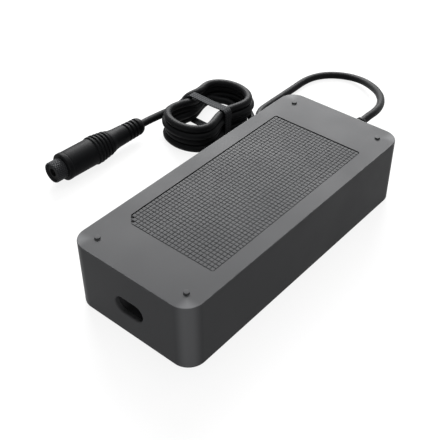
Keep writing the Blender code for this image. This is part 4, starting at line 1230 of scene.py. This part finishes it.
@dataclass
class Connector:
    """The moulded connector on the lead's far end, with its coupling sleeve, insulator and centre contact."""

    axis_level: float = 0.00825
    face: tuple[float, float] = (-0.1086, -0.0317)
    tail: tuple[float, float] = (-0.1053, 0.0327)
    nose_radius: float = 0.0059
    nose_length: float = 0.0067
    bore_radius: float = 0.0049
    cord_bore: float = 0.0023
    contact_depth: float = 0.0030
    contact_radius: float = 0.0020
    contact_hole: float = 0.0014
    pocket_radius: float = 0.0023
    pocket_floor: float = 0.0008
    barrel: tuple[Corner, ...] = (
        (0.0, -0.0069, 0.0), (0.0079, -0.0069, 0.0009), (0.0079, -0.0097, 0.0003), (0.00765, -0.0100, 0.0001),
        (0.00775, -0.0104, 0.0002), (0.00775, -0.0271, 0.0004))
    ring_tops: tuple[float, ...] = (0.00825, 0.00822, 0.0079, 0.0076, 0.0073)
    ring_start: float = -0.0275
    ring_pitch: float = 0.00235
    shoulder: tuple[Corner, ...] = (
        (0.0068, -0.0393, 0.0004), (0.0066, -0.0403, 0.0006), (0.0060, -0.0420, 0.0010),
        (0.0056, -0.0450, 0.0020), (0.0054, -0.0508, 0.0006))
    neck_rings: int = 4
    neck_radius: float = 0.00537
    neck_start: float = -0.0516
    neck_pitch: float = 0.0026
    neck_taper: float = 0.00008
    groove: float = 0.0008

    @property
    def front(self) -> Vector:
        """Middle of the connector's face."""
        return Vector((*self.face, self.axis_level))

    @property
    def back(self) -> Vector:
        """End of the grip's neck."""
        return Vector((*self.tail, self.axis_level))

    @property
    def forward(self) -> Vector:
        """Direction in which the connector points."""
        return (self.front - self.back).normalized()

    def place(self) -> Matrix:
        """The connector's own place, Z pointing ahead and its origin in the face."""
        return turn_to(self.forward, self.front)

    def grip_profile(self) -> Profile:
        """Half-section of the grip, distances behind the face as negative heights."""
        groove, bore = self.groove, self.cord_bore
        corners = list(self.barrel)
        for number, top in enumerate(self.ring_tops):
            high = self.ring_start - number * self.ring_pitch
            corners += [(top - groove, high, 0.0002), (top, high - 0.0003, 0.0003),
                        (top, high - 0.0014, 0.0003), (top - groove, high - 0.0017, 0.0002)]
        corners += self.shoulder
        for number in range(self.neck_rings):
            high = self.neck_start - number * self.neck_pitch
            wide = self.neck_radius - number * self.neck_taper
            corners += [(wide, high, 0.0002), (wide - groove, high - 0.0003, 0.0002),
                        (wide - groove, high - 0.0010, 0.0002), (wide, high - 0.0013, 0.0002)]
        end = -(self.front - self.back).length
        corners += [(0.0050, end + 0.0024, 0.0010), (0.0043, end + 0.0008, 0.0008), (0.0034, end, 0.0005),
                    (bore, end, 0.0002), (bore, end + 0.0030, 0.0), (0.0, end + 0.0030, 0.0)]
        return softened(corners, 3)

    def sleeve_profile(self) -> Profile:
        """Half-section of the coupling sleeve."""
        nose, bore, deep = self.nose_radius, self.bore_radius, -self.nose_length
        return softened([(bore, deep, 0), (bore, -0.0006, 0), (bore + 0.0003, 0, 0.0001),
                         (nose - 0.0003, 0, 0.0003), (nose, -0.0006, 0.0002), (nose, deep, 0),
                         (bore, deep, 0)], 3)

    def insulator_profile(self) -> Profile:
        """Half-section of the insulator, with its pocket for the contact."""
        core, face, deep = self.bore_radius - 0.0003, -0.0009, -self.nose_length
        pocket, floor = self.pocket_radius, deep + self.pocket_floor
        return softened([(0, floor, 0), (pocket, floor, 0), (pocket, face, 0.0001), (core, face, 0.0002),
                         (core, deep, 0), (0, deep, 0)], 3)

    def contact_profile(self) -> Profile:
        """Half-section of the hollow centre contact."""
        outer, hole, lip, foot = self.contact_radius, self.contact_hole, -self.contact_depth, -0.0052
        floor = self.pocket_floor + 0.0003 - self.nose_length
        return softened([(0, foot, 0), (hole, foot, 0), (hole, lip, 0.0002), (outer, lip, 0.0003),
                         (outer, floor, 0), (0, floor, 0)], 4)

    def build(self) -> list[Piece]:
        """Builds the connector's four pieces and returns them."""
        made = []
        for name, finish, profile, steps, crease in (
                ("grip", GRIP, self.grip_profile(), 72, 50.0),
                ("sleeve", SLEEVE, self.sleeve_profile(), 72, 40.0),
                ("insulator", INSULATOR, self.insulator_profile(), 56, 34.0),
                ("contact", NICKEL, self.contact_profile(), 48, 34.0)):
            turning = lathe(profile, self.place(), steps, f"connector_{name}")
            made.append(dress(turning, finish, [f"plug_{name}"], crease))
        return made


@dataclass
class Hank:
    """The tied turns: a waisted loop, four cords high, wound from the floor up.

    The cord winds anticlockwise seen from above. A side of 1 is one cord's width outwards from the stack, and
    a level of 1 one layer up. Each move says between which degrees of winding the cord changes its place.
    The loop's outline is a short series of odd waves, and the wander keeps its turns from lying too evenly.
    """

    centre: tuple[float, float] = (-0.0811, 0.06485)
    along: tuple[float, ...] = (0.02555, 0.00162)
    across: tuple[float, ...] = (0.01628, 0.00466, -0.00024, -0.00008)
    width: float = 0.0045
    lowest: float = 0.0030
    pitch: float = 0.0041
    stagger: float = 0.00055
    start_angle: float = 75.0
    wound: float = 1612.0
    start_side: float = 1.10
    side_moves: tuple[tuple[float, float, float], ...] = (
        (16, 48, -1.10), (374, 404, -1.0), (425, 450, 0.134), (462, 490, 0.866), (1574, 1602, 1.28))
    level_moves: tuple[tuple[float, float, float], ...] = (
        (425, 450, 0.5), (453, 487, 0.5), (868, 904, 1.0), (1228, 1264, 1.0), (1580, 1640, -1.6))
    bulge: float = 0.0014
    bulge_angle: float = -45.0
    wander: tuple[tuple[float, float, float], ...] = ((0.00014, 2.3, 1.1), (0.00009, 5.1, 0.0))
    steps_a_turn: int = 36

    def spot(self, angle: float, outwards: float) -> tuple[float, float]:
        """A point of the loop seen from above.

        Args:
            angle: Angle in degrees, 0 at the +Y end and 90 on the charger's side.
            outwards: How far outside the loop's own line it lies.

        Returns:
            Its x and y.
        """
        turn = math.radians(angle)
        x = y = step_x = step_y = 0.0
        for number, size in enumerate(self.along):
            order = 2 * number + 1
            y += size * math.cos(order * turn)
            step_y -= order * size * math.sin(order * turn)
        for number, size in enumerate(self.across):
            order = 2 * number + 1
            x += size * math.sin(order * turn)
            step_x += order * size * math.cos(order * turn)
        reach = outwards / math.hypot(step_x, step_y)
        return self.centre[0] + x - reach * step_y, self.centre[1] + y + reach * step_x

    @staticmethod
    def moved(travelled: float, moves: Sequence[tuple[float, float, float]]) -> float:
        """Sum of the moves made so far, each one smooth.

        Args:
            travelled: Degrees wound so far.
            moves: Start, end and change of each move.

        Returns:
            The total change.
        """
        total = 0.0
        for first, last, change in moves:
            share = min(1.0, max(0.0, (travelled - first) / (last - first)))
            total += change * share * share * (3 - 2 * share)
        return total

    def route(self) -> list[Point]:
        """Points of the winding, from the charger's side to where the cord leaves for the connector."""
        count = round(self.wound / 360.0 * self.steps_a_turn)
        points = []
        for step in range(count + 1):
            travelled = self.wound * step / count
            turn = travelled / 360.0
            level = self.moved(travelled, self.level_moves)
            outwards = (self.start_side + self.moved(travelled, self.side_moves)) * self.width
            outwards += self.stagger * math.cos(math.pi * level)
            outwards += sum(size * math.sin(often * math.tau * turn + lag)
                            for size, often, lag in self.wander)
            angle = self.start_angle - travelled
            outwards += self.bulge * max(0.0, math.cos(math.radians(angle - self.bulge_angle))) ** 2
            x, y = self.spot(angle, outwards)
            points.append((x, y, self.lowest + self.pitch * level))
        return points


@dataclass
class Strap:
    """The woven tape that ties the hank at its waist."""

    centre: tuple[float, float] = (-0.0811, 0.0650)
    half_width: float = 0.0025
    inner_half: float = 0.01430
    inner_top: float = 0.01760
    thickness: float = 0.0007
    corner: float = 0.0021
    sag: float = 0.00035
    sag_loss: float = 0.4
    ripple: float = 0.00010
    ripples: tuple[float, float] = (330.0, 210.0)
    edge: float = 0.00016

    def crossing(self, bm: Mesh) -> list[bmesh.types.BMEdge]:
        """The edges that cross the tape."""
        return [edge for edge in bm.edges if abs(edge.verts[0].co.y - edge.verts[1].co.y) > self.half_width]

    def build(self) -> Piece:
        """Builds the tape and returns it."""
        low, high = self.thickness, self.inner_top
        bm = bmesh.new()
        bmesh.ops.create_cube(bm, size=1.0)
        bmesh.ops.scale(bm, vec=(2 * self.inner_half, 2 * self.half_width, high - low), verts=bm.verts)
        bmesh.ops.translate(bm, vec=(0, 0, (high + low) / 2), verts=bm.verts)
        ends = [face for face in bm.faces if abs(face.normal.y) > 0.5]
        bmesh.ops.delete(bm, geom=ends, context="FACES")
        round_edges(bm, self.crossing(bm), self.corner, 8)
        crossing = set(self.crossing(bm))
        long_edges = [edge for edge in bm.edges
                      if edge not in crossing and edge.calc_length() > 2 * self.half_width]
        bmesh.ops.subdivide_edges(bm, edges=long_edges, cuts=11, use_grid_fill=True)
        bmesh.ops.subdivide_edges(bm, edges=self.crossing(bm), cuts=5, use_grid_fill=True)
        for vert in bm.verts:
            if vert.co.z > high - 1e-5:
                across, along = vert.co.x / self.inner_half, vert.co.y / self.half_width
                vert.co.z -= self.sag * math.cos(across * math.pi / 2) ** 2 * (1.0 - self.sag_loss * along ** 2)
            vert.co.y += self.ripple * math.sin(vert.co.x * self.ripples[0] + vert.co.z * self.ripples[1])
        bmesh.ops.recalc_face_normals(bm, faces=bm.faces)
        middle = Vector((0, 0, high / 2))
        if sum(face.normal.dot(face.calc_center_median() - middle) for face in bm.faces) < 0:
            bmesh.ops.reverse_faces(bm, faces=bm.faces)
        layer = bm.loops.layers.uv.new("surface")
        for face in bm.faces:
            flat = abs(face.normal.z) > 0.7
            for loop in face.loops:
                spot = loop.vert.co
                loop[layer].uv = (spot.y, spot.x if flat else spot.z + math.copysign(self.inner_half, spot.x))
        bmesh.ops.translate(bm, vec=(self.centre[0], self.centre[1], 0), verts=bm.verts)
        made = dress(bare(bm, "tie_tape"), TAPE, ["hank_tie"], 60.0)
        solid = made.modifiers.new("tape_thickness", "SOLIDIFY")
        solid.thickness = self.thickness
        solid.offset = 1.0
        soft = made.modifiers.new("tape_edge", "BEVEL")
        soft.width = self.edge
        soft.segments = 2
        soft.limit_method = "ANGLE"
        soft.angle_limit = math.radians(50)
        return made


@dataclass
class OutputLead:
    """The output lead: boot, bend behind the charger, run, hank and connector.

    The descent gives x, the distance past the end wall and the share of the drop that is still left.
    """

    diameter: float = 0.0045
    spacing: float = 0.45
    end: float = 0.08085
    exit_level: float = 0.0204
    boot_length: float = 0.0205
    boot_root: float = 0.0046
    boot_tip: float = 0.0029
    boot_rings: int = 7
    ring_depth: float = 0.0006
    flange_radius: float = 0.0062
    flange_thickness: float = 0.0016
    wall_inside: float = 0.07845
    gap: float = 0.0003
    descent: tuple[Point, ...] = (
        (0.0000, 0.0282, 1.00), (-0.0002, 0.0330, 0.97), (-0.0021, 0.0416, 0.88), (-0.0062, 0.0511, 0.75),
        (-0.0124, 0.0609, 0.58), (-0.0201, 0.0699, 0.40), (-0.0288, 0.0772, 0.24), (-0.0377, 0.0822, 0.11),
        (-0.0462, 0.0837, 0.03), (-0.0533, 0.0820, 0.00), (-0.0590, 0.0781, 0.00), (-0.0634, 0.0728, 0.00),
        (-0.0662, 0.0665, 0.00), (-0.0673, 0.0599, 0.00))
    floor_run: tuple[tuple[float, float], ...] = (
        (-0.0673, 0.1300), (-0.0673, 0.1150), (-0.0673, 0.1050), (-0.0667, 0.0962), (-0.0634, 0.0900),
        (-0.0580, 0.0835), (-0.0525, 0.0768), (-0.0472, 0.0695), (-0.0430, 0.0615), (-0.0403, 0.0535),
        (-0.0400, 0.0450), (-0.0427, 0.0372), (-0.0485, 0.0330), (-0.0549, 0.0338), (-0.0592, 0.0390),
        (-0.0606, 0.0470))
    raised_run: tuple[tuple[float, float], ...] = ((-0.0608, 0.0560), (-0.0608, 0.0640))
    raised: float = 0.0007
    to_connector: tuple[Point, ...] = (
        (-0.1002, 0.0555, 0.0100), (-0.1024, 0.0495, 0.0090), (-0.1039, 0.0440, 0.0085),
        (-0.1048, 0.0390, 0.0083))
    hank: Hank = field(default_factory=Hank)
    strap: Strap = field(default_factory=Strap)
    connector: Connector = field(default_factory=Connector)

    def route(self) -> list[Vector]:
        """The cord's middle line from the boot to the connector."""
        floor = self.diameter / 2 + 0.00002
        tip = self.end + self.boot_length
        points: list[Point] = [(0.0, tip - 0.0028, self.exit_level), (0.0, tip, self.exit_level)]
        drop = self.exit_level - floor
        points += [(x, self.end + reach, floor + share * drop) for x, reach, share in self.descent]
        points += [(x, y, floor) for x, y in self.floor_run]
        points += [(x, y, floor + self.raised) for x, y in self.raised_run]
        tail, forward = self.connector.back, self.connector.forward
        points += [*self.hank.route(), *self.to_connector, tail - forward * 0.0018, tail + forward * 0.0025]
        return smooth_line(points, self.diameter * self.spacing)

    def cord(self, line: Sequence[Vector]) -> Piece:
        """Builds the cord along its line, as a tube with its own map.

        Args:
            line: The cord's middle line.

        Returns:
            The cord.
        """
        data = bpy.data.curves.new("cord_line", "CURVE")
        data.dimensions = "3D"
        data.bevel_depth = self.diameter / 2
        data.bevel_resolution = 4
        data.use_fill_caps = True
        data.twist_mode = "MINIMUM"
        spline = data.splines.new("POLY")
        spline.points.add(len(line) - 1)
        for dot, spot in zip(spline.points, line):
            dot.co = (*spot, 1.0)
        curve = placed("cord_line", data)
        mesh = evaluated(curve)
        bpy.data.objects.remove(curve, do_unlink=True)
        made = placed("output_cord", mesh)
        self.map_cord(made, line)
        return dress(made, CORD, ["cord_lead", "cord_hank", "cord_plug_lead"], 70.0)

    def map_cord(self, made: Piece, line: Sequence[Vector]) -> None:
        """Gives the tube a map in metres, round it and along it.

        Args:
            made: The tube.
            line: Its middle line.
        """
        mesh = made.data
        while mesh.uv_layers:
            mesh.uv_layers.remove(mesh.uv_layers[0])
        layer = mesh.uv_layers.new(name="surface")
        lengths = distances(line)
        sides = len(mesh.vertices) // len(line)
        around = math.pi * self.diameter / sides
        for polygon in mesh.polygons:
            corners = [(mesh.loops[index].vertex_index, index) for index in polygon.loop_indices]
            places = {vertex % sides for vertex, _ in corners}
            wraps = 0 in places and sides - 1 in places
            for vertex, index in corners:
                station, side = divmod(vertex, sides)
                side += sides if wraps and side == 0 else 0
                layer.data[index].uv = (side * around, lengths[min(station, len(lengths) - 1)])

    def boot(self) -> Piece:
        """Builds the ringed, tapered boot where the cord leaves the housing."""
        start = self.wall_inside - self.gap - self.flange_thickness
        root = self.end - start
        pitch = self.boot_length / (self.boot_rings + 0.6)
        tip, hollow = root + self.boot_length, root + self.boot_length - 0.0030
        bore, flange = self.diameter / 2 + 0.00005, self.flange_radius
        corners = [(0.0, hollow, 0.0), (bore, hollow, 0.0), (bore, tip, 0.0001),
                   (self.boot_tip - 0.0003, tip, 0.0003)]
        for ring in range(self.boot_rings, 0, -1):
            high = root + pitch * (ring + 0.3)
            wide = self.boot_root + (self.boot_tip - self.boot_root) * (high - root) / self.boot_length
            groove = wide - self.ring_depth
            corners += [(wide, high, 0.0003), (wide + 0.0001, high - 0.55 * pitch, 0.0003),
                        (groove, high - 0.62 * pitch, 0.0002), (groove, high - 0.92 * pitch, 0.0002)]
        corners += [(self.boot_root, root + 0.0012, 0.0002), (self.boot_root, self.flange_thickness, 0.0),
                    (flange, self.flange_thickness, 0.0), (flange, 0.0, 0.0), (0.0, 0.0, 0.0)]
        place = turn_to(ALONG_Y, (0, start, self.exit_level))
        return dress(lathe(softened(corners, 3), place, 56, "cord_guard"), BOOT, ["cord_boot"], 45.0)

    def build(self) -> Piece:
        line = self.route()
        cord = self.cord(line)
        fittings = self.connector.build() + [self.strap.build(), self.boot()]
        length = distances(line)[-1]
        LOG.info("the cord is %.3f m long", length)
        return cord


# Studio

WHITE = (1.0, 1.0, 1.0, 1.0)


@dataclass
class Studio:
    """Camera, lamps, floor and background."""

    eye: Point = (0.18672, -0.23906, 0.26811)
    right: Point = (0.76498, 0.64405, -0.00048)
    down: Point = (0.41484, -0.49330, -0.76457)
    ahead: Point = (-0.49266, 0.58468, -0.64454)
    focal_pixels: float = 812.43
    centre_pixels: tuple[float, float] = (224.157, 222.147)
    frame_pixels: float = 440.0
    floor_bounce: float = 0.18
    floor_tone: float = 0.95
    floor_glow: float = 0.86
    sky_light: float = 0.13
    floor_half: float = 3.0
    floor_level: float = -0.0001
    sensor: float = 36.0
    clip: tuple[float, float] = (0.01, 20.0)
    lamps: tuple[tuple[str, Point, Point, tuple[float, float], float], ...] = (
        ("back_softbox", (-0.62, 0.72, 0.62), (0.0, 0.05, 0.02), (0.9, 0.5), 40.0),
        ("top_softbox", (-0.10, 0.15, 1.1), (0.0, 0.0, 0.0), (0.9, 0.9), 9.5),
        ("front_softbox", (0.53, -0.84, 0.13), (0.03, -0.08, 0.02), (0.16, 0.20), 5.0))

    def camera(self) -> Piece:
        """Makes the camera of the photograph."""
        data = bpy.data.cameras.new("camera")
        data.sensor_width = self.sensor
        data.lens = self.focal_pixels / self.frame_pixels * data.sensor_width
        data.shift_x = (self.frame_pixels / 2 - self.centre_pixels[0]) / self.frame_pixels
        data.shift_y = (self.centre_pixels[1] - self.frame_pixels / 2) / self.frame_pixels
        data.clip_start, data.clip_end = self.clip
        made = placed("camera", data)
        axes = Matrix((self.right, -Vector(self.down), -Vector(self.ahead))).transposed()
        made.matrix_world = Matrix.Translation(self.eye) @ axes.to_4x4()
        bpy.context.scene.camera = made
        return made

    def lamp(self, name: str, spot: Point, aim: Point, size: tuple[float, float], power: float) -> Piece:
        """Makes one soft box.

        Args:
            name: Its name.
            spot: Where it stands.
            aim: Where it points.
            size: Its width and height.
            power: Its power in watts.

        Returns:
            The lamp.
        """
        data = bpy.data.lights.new(name, "AREA")
        data.shape = "RECTANGLE"
        data.size, data.size_y = size
        data.energy = power
        made = placed(name, data)
        made.location = spot
        made.rotation_mode = "QUATERNION"
        made.rotation_quaternion = (Vector(aim) - Vector(spot)).to_track_quat("-Z", "Y")
        return made

    def floor(self) -> Piece:
        """Makes the pale floor, white to the camera, with a faint shadow."""
        bm = bmesh.new()
        bmesh.ops.create_grid(bm, x_segments=1, y_segments=1, size=self.floor_half)
        bmesh.ops.translate(bm, vec=(0, 0, self.floor_level), verts=bm.verts)
        made = bare(bm, "floor")
        look = bpy.data.materials.new("pale_floor")
        look.use_nodes = True
        look.node_tree.nodes.clear()
        bench = Bench(look.node_tree)
        plain = bench.add("BsdfDiffuse")
        glow = bench.add("Emission")
        glow.inputs["Color"].default_value = WHITE
        glow.inputs["Strength"].default_value = 1.0
        shown = self.shown(bench)
        shade = bench.ramp(shown, 0.0, 1.0, self.floor_bounce, self.floor_tone)
        bench.feed(plain.inputs["Color"], bench.place(shade, shade, shade))
        seen = bench.maths("MULTIPLY", shown, self.floor_glow)
        mix = bench.add("MixShader")
        bench.feed(mix.inputs[0], seen)
        bench.feed(mix.inputs[1], plain.outputs[0])
        bench.feed(mix.inputs[2], glow.outputs[0])
        end = bench.add("OutputMaterial")
        bench.feed(end.inputs[0], mix.outputs[0])
        made.data.materials.append(look)
        return made

    @staticmethod
    def shown(bench: Bench) -> Socket:
        """A socket that is 1 for the rays that show the background: camera, glossy and transmission rays."""
        rays = bench.add("LightPath").outputs
        clear = bench.maths("MAXIMUM", rays["Is Camera Ray"], rays["Is Transmission Ray"])
        return bench.maths("MAXIMUM", clear, rays["Is Glossy Ray"])

    def world(self) -> None:
        """Makes the background: white to look at, a soft even light for the rest."""
        world = bpy.data.worlds.new("studio")
        bpy.context.scene.world = world
        world.use_nodes = True
        world.node_tree.nodes.clear()
        bench = Bench(world.node_tree)
        strength = bench.ramp(self.shown(bench), 0.0, 1.0, self.sky_light, 1.0)
        back = bench.add("Background")
        back.inputs["Color"].default_value = WHITE
        bench.feed(back.inputs["Strength"], strength)
        end = bench.add("OutputWorld")
        bench.feed(end.inputs[0], back.outputs[0])

    def build(self) -> None:
        """Makes the whole studio."""
        bpy.context.scene.view_settings.view_transform = "Standard"
        self.camera()
        self.floor()
        self.world()
        for name, spot, aim, size, power in self.lamps:
            self.lamp(name, spot, aim, size, power)


def dress_carried_nodes() -> None:
    """Gives each CAD node that stays its own finish."""
    for name, finish in CARRIED_NODES.items():
        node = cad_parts[name]
        node.data.materials.clear()
        node.data.materials.append(finish.material())
        LOG.info("%s: %s", name, finish.name)


def main() -> None:
    """Builds the studio, the cord and every other piece."""
    logging.basicConfig(level=logging.INFO, format="%(name)s: %(message)s")
    Studio().build()
    OutputLead().build()
    Housing().build()
    TexturePanel().build()
    Base().build()
    InletPins().build()
    StatusLamp().build()
    dress_carried_nodes()


if __name__ == "__main__":
    main()
